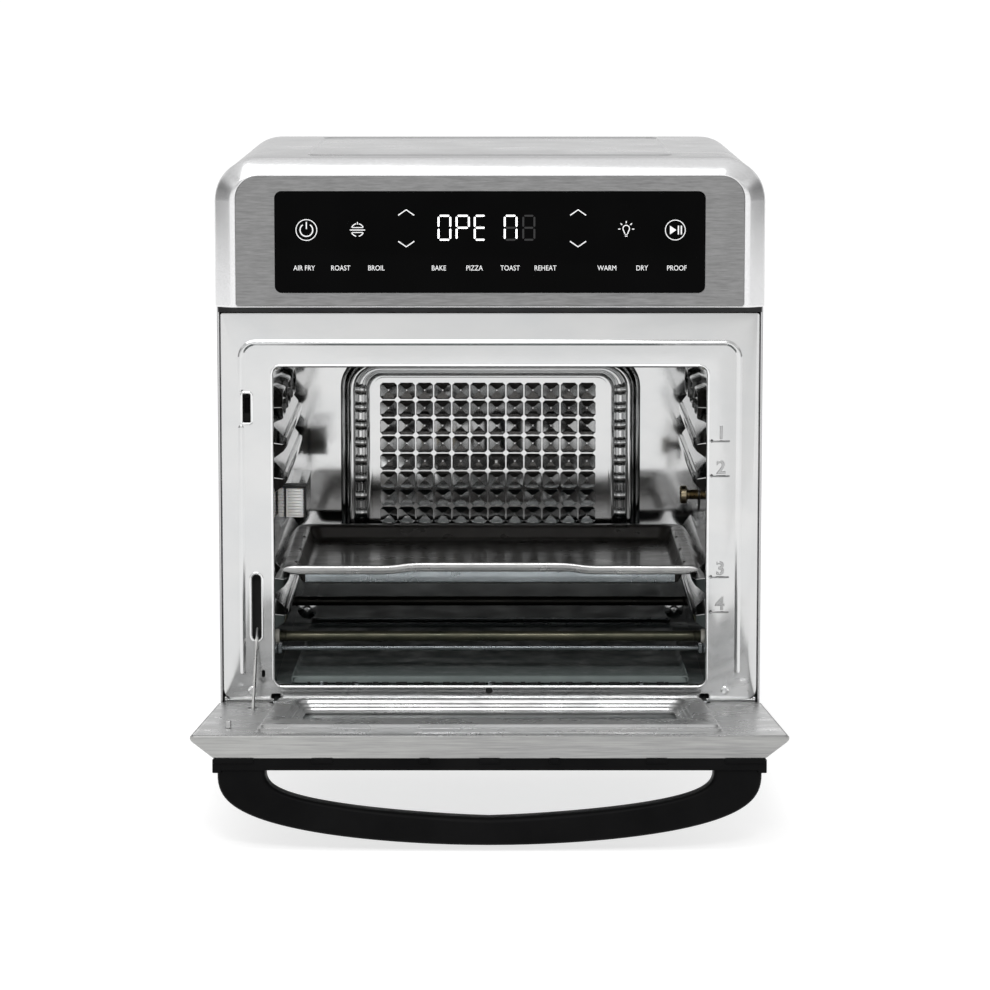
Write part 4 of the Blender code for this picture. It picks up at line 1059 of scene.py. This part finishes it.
def lamp():
    """Ribbed side lamp glass with black strips along its cap's front edges and between its panes, which are
    painted shade, and its lamp shade, bulb and holder.
    """
    low, tall, pitch = 148.5, 19.0, 1.9
    steps = []
    for x0, x1 in ((-136.2, -131.6), (-130.4, -119.0)):
        rings = []
        for i in range(61):
            z = low + tall * i / 60
            inset = 0.22 - 0.22 * math.cos(2 * math.pi * (z - low) / pitch)
            if i in (0, 60):
                inset += 0.5
            rings.append(at_height(rounded(x0 + inset, x1 - inset, 60 + inset, 135 - inset, 1.2, 4), z))
        steps.append((skin, rings))
    steps += [(block, (x - 0.5, 59.6, 149.0), (x + 0.5, 60.6, 167.2)) for x in (-129.9, -120.4)]
    made_of("lamp_glass_ribbed", "lamp_glass", *steps, stands_for="lamp_cover", sharp=50)
    # Black strips where the cap's front edges and the divider show dark: painted shade.
    made_of("lamp_painted_shade_strips", "black_oxide_and_painted_shade", (block, (-136.1, 59, 167.9), (-117.6, 70, 169.4)),
            (block, (-118.9, 59.6, 148.0), (-118.2, 75, 167.9)),
            (block, (-131.6, 60.4, 148.2), (-130.4, 135.2, 167.9)),
            bevel=0.2)
    made_of("lamp_shade", "mirror_steel", (block, (-136.1, 70, 167.9), (-117.6, 136, 169.4)),
            (block, (-118.9, 75, 148.0), (-118.2, 135.5, 167.9)), stands_for="lamp_cap", bevel=0.2)
    bulb = ((0.0001, -122.0), (2.6, -122.3), (4.8, -124.0), (6.2, -127.0), (6.7, -130.5), (6.3, -134.0),
            (5.0, -137.0), (4.6, -139.0), (3.2, -139.0))
    made_of("bulb_envelope", "clear_glass", (turn, bulb, LAMP, "x"), stands_for="lamp_bulb", sharp=50)
    coil = []
    for i, (c, s) in enumerate(circle(8) * 12 + circle(8)[:1]):
        coil.append((-129.5 + 0.4 * c, LAMP[1] - 3.0 + 6.0 * i / 96, LAMP[2] + 0.4 * s))
    made_of("bulb_filament", "filament_glow", (tube, coil, 0.08, 6))
    holder = ((2.5, -139.2), (7.6, -139.2), (8.5, -140.0), (8.5, -147.0), (7.6, -148.4), (7.6, -153.0),
              (6.8, -154.0), (2.5, -154.0))
    made_of("lamp_holder_ceramic", "white_ceramic", (turn, holder, LAMP, "x", 32, True),
            stands_for="lamp_holder")


def rotisserie():
    """Brass coupling for the spit, threaded and pinned, in a pressed ring of the right wall."""
    profile = [(1.9, 124.6), (2.9, 124.4), (5.2, 124.5), (5.9, 125.1), (5.9, 128.4), (5.2, 129.0),
               (3.7, 129.2), (3.0, 129.8)]
    for thread in range(9):
        start = 130.0 + thread * 0.75
        profile += [(3.0, start), (3.55, start + 0.37)]
    profile += [(3.0, 136.8), (3.0, 145.0), (1.9, 145.0)]
    pins = []
    for i in range(4):
        angle = math.pi / 4 + math.pi / 2 * i
        centre = (125.4, SPIT[1] + 4.9 * math.cos(angle), SPIT[2] + 4.9 * math.sin(angle))
        pins.append((turn, ((0.7, -1.0), (0.7, 3.0)), centre, "x", 10))
    made_of("rotisserie_coupling", "brass", (turn, profile, SPIT, "x", 32, True), *pins,
            stands_for="rotisserie_hub", body="spit_drive")
    ring = ((7.4, 136.7), (8.6, 136.5), (9.6, 135.7), (10.4, 135.7), (11.2, 136.5), (11.6, 136.9))
    made_of("rotisserie_ring", "mirror_steel", (turn, ring, SPIT, "x", 40), sharp=50)


# Trays


def tray_rim():
    """The tray's rolled front edge, in a light grey steel that is a painted reflection. It rises in the
    middle and runs down to flat, rounded ends.
    """
    rings = []
    for i in range(97):
        x = -130.9 + 261.8 * i / 96
        middle = 120.6 + 2.0 / (1.0 + math.exp((abs(x) - 56.0) / 3.4))
        half = 2.9 * max(round_end((131.2 - abs(x)) / 3.0), 0.2)
        flange = 119.5 if abs(x) > 126.6 else 0.0
        rings.append([(x, 21.7 + 1.55 * c, max(middle + half * s, flange)) for c, s in circle(16)])
    made_of("tray_rim", "tray_rim_painted_reflection", (skin, rings), body="oven_tray", sharp=60)


def baking_tray():
    """Enamelled tray with a wide flange, rounded corners and a rolled rim at its front; rim and front wall
    are drawn lighter, a painted reflection.
    """
    stations = (
        (114.0, 37.0, 209.6, 5.0, 110.7), (116.6, 34.4, 212.4, 6.0, 110.8),
        (118.6, 32.6, 214.2, 6.6, 111.4), (119.8, 31.4, 215.4, 7.0, 112.9),
        (122.2, 29.2, 217.6, 8.0, 118.6), (123.2, 28.2, 218.6, 8.6, 119.9),
        (124.6, 27.0, 219.8, 9.4, 120.5), (129.4, 23.0, 224.4, 11.6, 120.6),
        (130.6, 21.9, 225.6, 12.6, 120.5), (131.0, 21.5, 226.0, 13.0, 120.1),
        (131.0, 21.5, 226.0, 13.0, 119.5), (124.4, 27.2, 219.6, 9.4, 119.5),
        (123.4, 28.0, 218.8, 8.8, 118.4), (120.8, 30.4, 216.4, 7.6, 112.2),
        (119.2, 32.0, 214.8, 6.8, 110.4), (116.8, 34.0, 212.6, 6.0, 109.95),
        (114.0, 37.0, 209.6, 5.0, 109.9),
    )
    rings = [at_height(centred(half, y0, y1, radius, 8), z) for half, y0, y1, radius, z in stations]
    ribs = []
    for x in (-124.2, 124.2):
        for y in (70, 124, 178):
            ribs.append((rib, (x, y - 14, 120.45), (x, y + 14, 120.45), 3.0, 0.5, (0, 0, 1)))
    made_of("tray_pan", "dark_enamel", (skin, rings), *ribs, stands_for="baking_tray", body="oven_tray",
            sharp=50)
    tray_rim()
    # A lighter strip laid on the pan's front wall: painted reflection.
    section = ((27.3, 119.0), (28.2, 116.2), (29.8, 112.0), (30.4, 111.2), (30.9, 111.6), (29.0, 117.0),
               (28.4, 119.2))
    wall = [[(-117.0 + 234.0 * i / 40, y, z) for y, z in section] for i in range(41)]
    made_of("tray_front_painted_reflection", "rivet_steel_and_painted_reflection", (skin, wall), body="oven_tray", sharp=50)


def crumb_tray():
    """Shallow tray on the cavity's sloping floor, with hemmed sides and a rolled front."""
    slope = math.tan(math.radians(1.2))
    stations = (
        (121.0, 9.0, 243.0, 3.0, 0.75), (122.6, 7.4, 244.6, 3.5, 0.95), (123.4, 6.6, 245.6, 4.0, 2.0),
        (123.7, 6.2, 246.0, 4.2, 3.9), (124.2, 5.6, 246.8, 4.5, 4.7), (124.8, 4.6, 247.8, 5.0, 4.7),
        (125.0, 3.9, 248.4, 5.2, 3.9), (125.0, 3.7, 248.4, 5.2, 0.9), (124.0, 5.4, 247.4, 4.4, 0.1),
        (121.0, 9.0, 243.0, 3.0, 0.05),
    )
    rings = []
    for half, y0, y1, radius, rise in stations:
        points = centred(half, y0, y1, radius)
        rings.append([(x, y, 50.9 - slope * (y - 3.6) + rise * (1 - y / 345)) for x, y in points])
    made_of("crumb_tray_sheet", "floor_steel", (skin, rings), stands_for="crumb_tray", body="drip_tray",
            sharp=50)

    def roll(name, material, radius, corner, y, z, reach, steps):
        left = [(-x, along, up) for x, along, up in corner]
        middle = [(-reach + 6 * i, y, z) for i in range(steps)]
        made_of(name, material, (tube, left + middle + corner[::-1], radius, 10), body="drip_tray")

    front = [(124.5, 5.6, 52.4), (124.4, 4.9, 54.6), (123.2, 4.8, 55.2)]
    roll("crumb_tray_front", "floor_steel", 0.6, front, 4.8, 55.3, 120, 41)
    # The rear roll takes a lighter steel than the sheet it is rolled from: painted highlight.
    rear = [(123.4, 244.4, 46.2), (123.2, 246.6, 46.9), (120.4, 247.4, 47.2)]
    roll("crumb_tray_rear_painted_highlight", "rivet_steel_and_painted_reflection", 0.75, rear, 247.5, 47.3, 117, 40)
    # The front slots are black pads laid on the sheet, not cut: painted shade.
    slots = []
    for k in range(38):
        x = -114.0 + 6.1 * k + 1.6 * math.sin(k * 2.3)
        reach = 0.9 + 1.3 * abs(math.sin(k * 1.7))
        slots.append((block, (x - reach, 3.2, 51.0), (x + reach, 3.8, 51.7 + 0.5 * abs(math.cos(k * 1.3)))))
    made_of("crumb_tray_slots_painted_shade", "black_print_and_painted_shade", *slots, body="drip_tray")
    head = ((1.3, 0.3), (1.2, 0.0), (0.8, -0.15), (0.3, -0.2))
    rivets = [(turn, head, (x, 3.4, 51.3), "y", 20) for x in (-106.0, -84.0, 0.0, 95.0)]
    made_of("crumb_tray_rivets", "rivet_steel_and_painted_reflection", *rivets, body="drip_tray")


# Door


def door_rings(stations, steps=4):
    """Rings square to the door. Each station is (half width, low, high, distance out, corner radius)."""
    rings = []
    for half, low, high, out, radius in stations:
        rings.append(at_depth(centred(half, low, high, radius, steps), -out))
    return rings


def hinge_notches(top):
    """Cutters for the hinge arms at the door's lower edge."""
    return [shape(block, (side * HINGE_X - 4, -9.5, -2), (side * HINGE_X + 4, top, 10.5)) for side in SIDES]


def door_skin():
    """Brushed outer sheet of the door, folded round its edges, with the window opening in it."""
    stations = (
        (123.4, 36.6, 183.4, 12.4, 6), (123.6, 36.4, 183.6, 12.85, 6), (124.3, 35.7, 184.3, 13.0, 6.4),
        (156.6, 6.9, 238.9, 13.0, 1.5), (157.6, 6.1, 239.0, 12.75, 2.0), (158.6, 5.4, 239.0, 12.1, 2.4),
        (168.9, 0.8, 239.0, 4.3, 2.6), (169.9, 0.15, 239.0, 3.3, 2.6), (170.4, 0.0, 239.0, 2.3, 2.4),
        (170.4, 0.0, 239.0, 0.95, 2.4), (170.1, 0.3, 238.7, 0.62, 2.1), (169.7, 0.7, 238.3, 0.62, 1.7),
        (169.4, 1.0, 238.0, 0.95, 1.4), (169.4, 1.0, 238.0, 3.0, 1.4), (157.3, 6.8, 238.0, 12.0, 1.5),
        (124.0, 36.0, 184.0, 12.0, 6),
    )
    bm = carve(shape(skin, door_rings(stations, 6), True), *hinge_notches(2))
    piece("door_skin_sheet", bm, "door_skin_steel", "door_skin", "door", sharp=24)


def door_liner():
    """Polished inner sheet with a raised plug and a stepped recess round the window."""
    stations = (
        (168.9, 1.6, 237.4, 0.1, 2.4), (168.5, 2.0, 237.0, 0.0, 2.2), (134.3, 15.7, 216.3, 0.0, 4.4),
        (133.7, 16.3, 215.7, -0.3, 4.0), (133.5, 16.5, 215.5, -1.5, 3.8), (133.1, 16.9, 215.1, -1.8, 3.7),
        (132.4, 17.6, 212.8, -1.95, 3.5), (132.0, 18.0, 212.3, -2.2, 3.4), (131.8, 18.2, 212.0, -3.5, 3.2),
        (131.2, 18.8, 211.4, -4.0, 3.0), (121.3, 30.3, 172.8, -4.0, 8.6), (120.7, 31.0, 172.2, -3.8, 8.0),
        (120.2, 31.4, 171.7, -3.2, 7.8), (119.6, 31.8, 171.2, -1.9, 7.6), (119.2, 32.4, 170.9, -1.65, 7.4),
        (118.5, 35.2, 170.4, -1.55, 7.2), (118.0, 35.9, 170.0, -1.3, 7.0), (117.7, 36.3, 169.6, 0.0, 6.8),
        (117.3, 36.9, 169.1, 0.25, 6.6), (116.2, 39.8, 168.0, 0.35, 6.0), (115.6, 40.5, 167.2, 0.6, 5.8),
        (115.2, 40.9, 166.6, 1.7, 5.4), (114.6, 41.8, 166.0, 1.95, 5.2), (113.0, 54.0, 163.9, 2.0, 5.0),
        (113.0, 54.0, 163.9, 2.8, 5.0), (115.6, 40.2, 166.8, 2.8, 5.6), (118.4, 35.4, 170.2, 1.1, 7.0),
        (119.8, 31.2, 171.4, -0.9, 7.6), (121.2, 30.2, 172.9, -3.2, 8.0), (130.6, 19.4, 210.8, -3.2, 3.0),
        (132.8, 17.2, 214.8, 0.8, 3.4), (168.9, 1.6, 237.4, 0.8, 2.4),
    )
    rod_opening = shape(push, rounded(-149.3, -143.3, 40.5, 51.5, 2.9), -2, 2)
    bm = carve(shape(skin, door_rings(stations, 8), True), *hinge_notches(1.4), rod_opening)
    piece("door_liner_sheet", bm, "door_liner_steel", "door_liner", "door", sharp=24)
    screws = []
    for x in (-162.5, 162.5):
        screws += [(screw, (x, 0.0, up), (0, 1, 0), 2.4, 0.16704) for up in (32, 118, 206)]
    made_of("door_liner_screws", "polished_steel", *screws, body="door")


def door_glazing():
    """Two panes with a printed dark border, and the channel that holds them apart."""
    inner = [(half, 49.0 + i, 168.0 - i, out, 3.0) for half, i, out in
             ((118.6, 0.4, 3.1), (119.0, 0.0, 3.4), (119.0, 0.0, 5.8), (118.6, 0.4, 6.1))]
    made_of("inner_pane", "satin_glass", (skin, door_rings(inner)), stands_for="inner_glass", body="door")
    outer = [(130.0 - i, 30.0 + i, 190.0 - i, out, 4.0) for i, out in
             ((0.4, 8.7), (0.0, 9.0), (0.0, 11.4), (0.4, 11.7))]
    made_of("outer_pane", "smoked_glass", (skin, door_rings(outer)), stands_for="outer_glass", body="door")
    border = ((129.5, 30.5, 189.5, 8.60, 4), (112.0, 55.0, 163.0, 8.60, 5), (112.0, 55.0, 163.0, 8.50, 5),
              (129.5, 30.5, 189.5, 8.50, 4))
    made_of("pane_border", "black_print_and_painted_shade", (skin, door_rings(border), True), body="door")
    channel = ((123.0, 45.0, 172.0, 6.5, 4), (116.0, 52.0, 165.0, 6.5, 4), (116.0, 52.0, 165.0, 8.4, 4),
               (123.0, 45.0, 172.0, 8.4, 4))
    made_of("glass_channel", "dark_steel", (skin, door_rings(channel, 6), True), stands_for="glass_spacer",
            body="door", bevel=0.25)


def handle_strip():
    """Black strip along the door's top edge, with end caps and clips over the sheet."""
    ends = [(block, (side * 152.6, -21.5, 216.5), (side * 157.5, -13.6, 239.2)) for side in SIDES]
    tabs = ((-157.0, -134.0), (-101.0, -89.0), (-40.0, -34.0), (-6.0, 6.0), (34.0, 40.0), (89.0, 101.0),
            (134.0, 157.0))
    clips = [(block, (a, -16.0, 238.0), (b, -13.2, 240.0)) for a, b in tabs]
    made_of("handle_strip", "black_plastic", (block, (-157.0, -20.0, 216.0), (157.0, -13.3, 239.0)), *ends,
            *clips,
            stands_for="door_strip", body="door", bevel=0.5)


def handle_bow():
    """Black bow, flattened at the front and thick at its two roots, with rounded edges."""
    steps = 72
    root, bow = 20.0, 1 / 3
    outer, inner = [], []
    for i in range(steps + 1):
        turned = math.cos(math.pi * i / steps)
        share = abs(turned) ** 0.8
        side = 1 if turned >= 0 else -1
        outer.append(Vector((side * 155.0 * share, root + 43.2 * max(0.0, 1 - share**1.9) ** bow)))
        inner.append(Vector((side * 127.5 * share, root + 27.2 * max(0.0, 1 - share**1.3) ** bow)))
    rings = []
    for up, pull in ((216.2, 3.2), (216.5, 2.0), (217.4, 0.9), (218.9, 0.25), (221.0, 0.0), (233.0, 0.0),
                     (235.1, 0.25), (236.6, 0.9), (237.5, 2.0), (237.8, 3.2)):
        out_line, in_line = [], []
        for far, near in zip(outer, inner):
            centre = (far + near) / 2
            share = max(0.0, 1 - pull / max((far - centre).length, 0.01))
            out_line.append(centre + (far - centre) * share)
            in_line.append(centre + (near - centre) * share)
        rings.append([Vector((point.x, -point.y, up)) for point in out_line + in_line[::-1]])
    made_of("handle_bow", "black_plastic", (skin, rings), stands_for="handle", body="door", sharp=50)


def switch_striker():
    """Small pressed nib on the liner that works the door switch."""
    outline = [(0.2, 187.6), (4.3, 188.6), (4.3, 194.5), (0.2, 195.4)]
    made_of("switch_striker", "door_liner_steel", (push, outline, -153.0, -150.0, "x"),
            stands_for="door_striker",
            body="door", bevel=0.4)


# Counterbalance


def counterbalance():
    """Rod with an eye at each end, and the tension spring that it hooks to."""
    low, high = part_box("spring_rod")
    angle = math.radians(40.1)
    along = Vector((0, math.cos(angle), math.sin(angle)))
    sideways = Vector((1, 0, 0))
    start = Vector(((low.x + high.x) / 2, low.y + 3.2 * MM, low.z + 3.2 * MM)) / MM
    end = start + along * 100.0
    eyes = []
    for centre in (start, end):
        ring = [centre + Vector((0, 2.5 * c, 2.5 * s)) for c, s in circle(24) + circle(24)[:1]]
        eyes.append((tube, ring, 0.7, 10))
    bar = [start + along * distance for distance in (2.6, 50, 97.2)]
    made_of("rod_with_eyes", "motor_steel", (tube, bar, 1.0, 16), *eyes, stands_for="spring_rod",
            body="counterbalance_rod", place=IN_METRES)

    post = sum(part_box("spring_post"), Vector()) / 2 / MM
    post.x = start.x
    square = sideways.cross(along)
    lower = end + along * 3.4
    length = (post - lower).length - 3.4
    turns, per_turn, coil = 21, 18, 4.2
    path = [end + along * 0.2 + square * 2.0, end + along * 1.8 + square * 2.6,
            lower - along * 0.6 + square * 3.4]
    for i, (c, s) in enumerate(circle(per_turn) * turns + circle(per_turn)[:1]):
        point = lower + along * (length * i / (turns * per_turn))
        path.append(point + sideways * (coil * s) + square * (coil * c))
    path += [post - along * 2.6 + square * 3.2, post - along * 1.2 + square * 2.4, post + square * 1.9]
    spring = made_of("tension_spring", "motor_steel", (tube, path, 0.55, 8), stands_for="door_spring",
                     place=IN_METRES)
    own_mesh(spring)
    pin = ((1.2, -148.4), (2.1, -148.2), (2.1, -147.6), (1.6, -147.2), (1.6, -137.6))
    made_of("spring_post_turned", "motor_steel", (turn, pin, (0, post.y, post.z), "x", 20),
            stands_for="spring_post",
            place=IN_METRES)


# Hidden works


def hidden_parts():
    """CAD nodes out of sight that keep their own shape and only take a finish."""
    for material, names in (
        ("dark_steel", "hinge_bracket_left hinge_bracket_right door_hinge_left door_hinge_right rod_anchor"),
        ("zinc_sheet", "panel_bracket motor_bracket heat_shield"),
        ("motor_steel", "convection_fan motor_shaft cooling_fan rotisserie_motor"),
        ("laminations", "fan_motor"),
        ("circuit_board", "control_board power_board"),
        ("component_black", "display_module"),
    ):
        for name in names.split():
            mesh = frame["nodes"][name].data
            mesh.materials.clear()
            mesh.materials.append(MATERIALS[material])


def works():
    """Windings, connectors and board parts on the motors and the two boards."""
    winding = ((9.0, 263.0), (13.5, 262.0), (14.5, 264.0), (14.5, 285.0), (13.5, 287.5), (9.0, 286.8))
    made_of("motor_windings", "copper_winding",
            *[(turn, winding, (side * 21.0, 0, 190.5), "y", 24, True) for side in SIDES])
    board = 266.8
    parts = []
    for x, y, size, tall in ((-44, 150, 9, 16), (-44, 176, 7, 12), (-20, 210, 8, 14), (52, 148, 6, 11)):
        top = board + tall
        can = ((0.4, board), (size, board), (size, top), (size - 0.8, top + 0.6), (0.4, top + 0.6))
        parts.append((turn, can, (x, y, 0), "z", 24))
    for x, y, w, l, h in ((10, 180, 14, 16, 20), (40, 205, 9, 12, 14), (-6, 146, 8, 6, 9)):
        parts.append((block, (x - w, y - l, board), (x + w, y + l, board + h)))
    made_of("power_parts", "component_black", *parts, bevel=0.4)
    spots = [(-108 + 24 * k, 318, 5.2) for k in range(10)]
    spots += [(x, 337.6, 6.2) for x in (-112.9, -81.5, -51.5, 54.2, 83.8, 114.0)]
    pads = []
    for x, z, radius in spots:
        profile = ((0.3, -4.25), (radius, -4.25), (radius, -3.2), (radius - 0.4, -2.9), (0.3, -2.9))
        pads.append((turn, profile, (x, 0, z), "y", 20))
    made_of("touch_pads", "brass", *pads)
    plugs = [(block, (x - w, -4.25, 303), (x + w, -1.6, 309)) for x, w in ((-60, 14), (20, 20), (80, 12))]
    made_of("board_connectors", "white_nylon", *plugs, bevel=0.3)


# Setting


def floor():
    """A wide pale floor that glows a little, so that it stays even and near white."""
    reach = 6.0
    bm = bmesh.new()
    corners = ((-reach, -reach, 0.0), (reach, -reach, 0.0), (reach, reach, 0.0), (-reach, reach, 0.0))
    bm.faces.new([bm.verts.new(corner) for corner in corners])
    mesh = bpy.data.meshes.new("floor")
    bm.to_mesh(mesh)
    bm.free()
    look = Look("floor_paper", roughness=0.9, gloss=0.1, glow_colour=(1, 1, 1, 1), glow=0.72)
    look.colour(look.noise(3, 2), (0.40, 0.40, 0.40), (0.44, 0.44, 0.44))
    mesh.materials.append(look.material)
    made = bpy.data.objects.new("floor", mesh)
    bpy.context.scene.collection.objects.link(made)


def aim(made, place, target):
    """Puts a light or camera in the scene, facing its target."""
    made.location = place
    made.rotation_euler = (Vector(target) - Vector(place)).to_track_quat("-Z", "Y").to_euler()
    bpy.context.scene.collection.objects.link(made)


def area_light(name, place, target, size, power):
    """A square soft light."""
    data = bpy.data.lights.new(name, "AREA")
    data.energy = power
    data.size = size
    aim(bpy.data.objects.new(name, data), place, target)


def surroundings():
    """A white studio, greyer in a few level bands and to the far sides, where steel can reflect it."""
    world = bpy.data.worlds.new("studio")
    bpy.context.scene.world = world
    world.use_nodes = True
    tree = world.node_tree
    place = add_node(tree, "TexCoord").outputs["Generated"]
    split = add_node(tree, "SeparateXYZ", Vector=place)
    height = add_node(tree, "MapRange", Value=split.outputs["Z"], From_Min=-1.0, From_Max=1.0)
    ramp = add_node(tree, "ValToRGB", Fac=height.outputs["Result"])
    elements = ramp.color_ramp.elements
    while len(elements) > 1:
        elements.remove(elements[0])
    shades = ((0.0, 0.9), (0.44, 1.0), (0.5, 1.08), (0.57, 1.05), (0.63, 0.62), (0.69, 0.66), (0.73, 0.95),
              (0.82, 0.62), (1.0, 0.85))
    for i, (position, shade) in enumerate(shades):
        element = elements[0] if i == 0 else elements.new(position)
        element.position = position
        element.color = (shade, shade, shade, 1)
    aside = add_node(tree, "Math", Value=split.outputs["X"])
    aside.operation = "ABSOLUTE"
    cards = add_node(tree, "MapRange", From_Min=0.76, From_Max=0.96, To_Min=1.0, To_Max=0.25,
                     Value=aside.outputs["Value"])
    cards.interpolation_type = "SMOOTHSTEP"
    shaded = add_node(tree, "VectorMath")
    shaded.operation = "SCALE"
    tree.links.new(ramp.outputs["Color"], shaded.inputs["Vector"])
    tree.links.new(cards.outputs["Result"], shaded.inputs["Scale"])
    back = tree.nodes["Background"]
    tree.links.new(shaded.outputs["Vector"], back.inputs["Color"])
    back.inputs["Strength"].default_value = 1.0
    area_light("key_above", (-0.5, -1.0, 2.0), (0, 0, 0.2), 1.4, 14)
    area_light("fill_front", (0.2, -3.7, 3.4), (0, -3.3, 0), 1.2, 60)


def camera():
    """A long lens a little above the oven's top, looking down at its front."""
    middle, height, away, sight = 0.0031, 0.507, 2.4365, 0.1713
    data = bpy.data.cameras.new("camera")
    data.lens = 143.3
    data.sensor_width = 36.0
    data.clip_start = 0.05
    data.clip_end = 50.0
    made = bpy.data.objects.new("camera", data)
    aim(made, (middle, FRONT - away, height), (middle, FRONT, sight))
    scene = bpy.context.scene
    scene.camera = made
    scene.view_settings.view_transform = "Standard"
    scene.view_settings.look = "None"


for build in (
    make_steels, make_other_materials, outer_wrap, rear_cover, cord_gland, base_plate, feet, front_frame,
    frame_fixings, door_switch_parts, bezel, control_plate, panel_prints, cavity_walls, cavity_shell,
    fan_cover, heaters, painted_heater_reflection, lamp, rotisserie, baking_tray, crumb_tray, door_skin, door_liner,
    door_glazing, handle_strip, handle_bow, switch_striker, counterbalance, hidden_parts, works, floor,
    surroundings, camera,
):
    build()
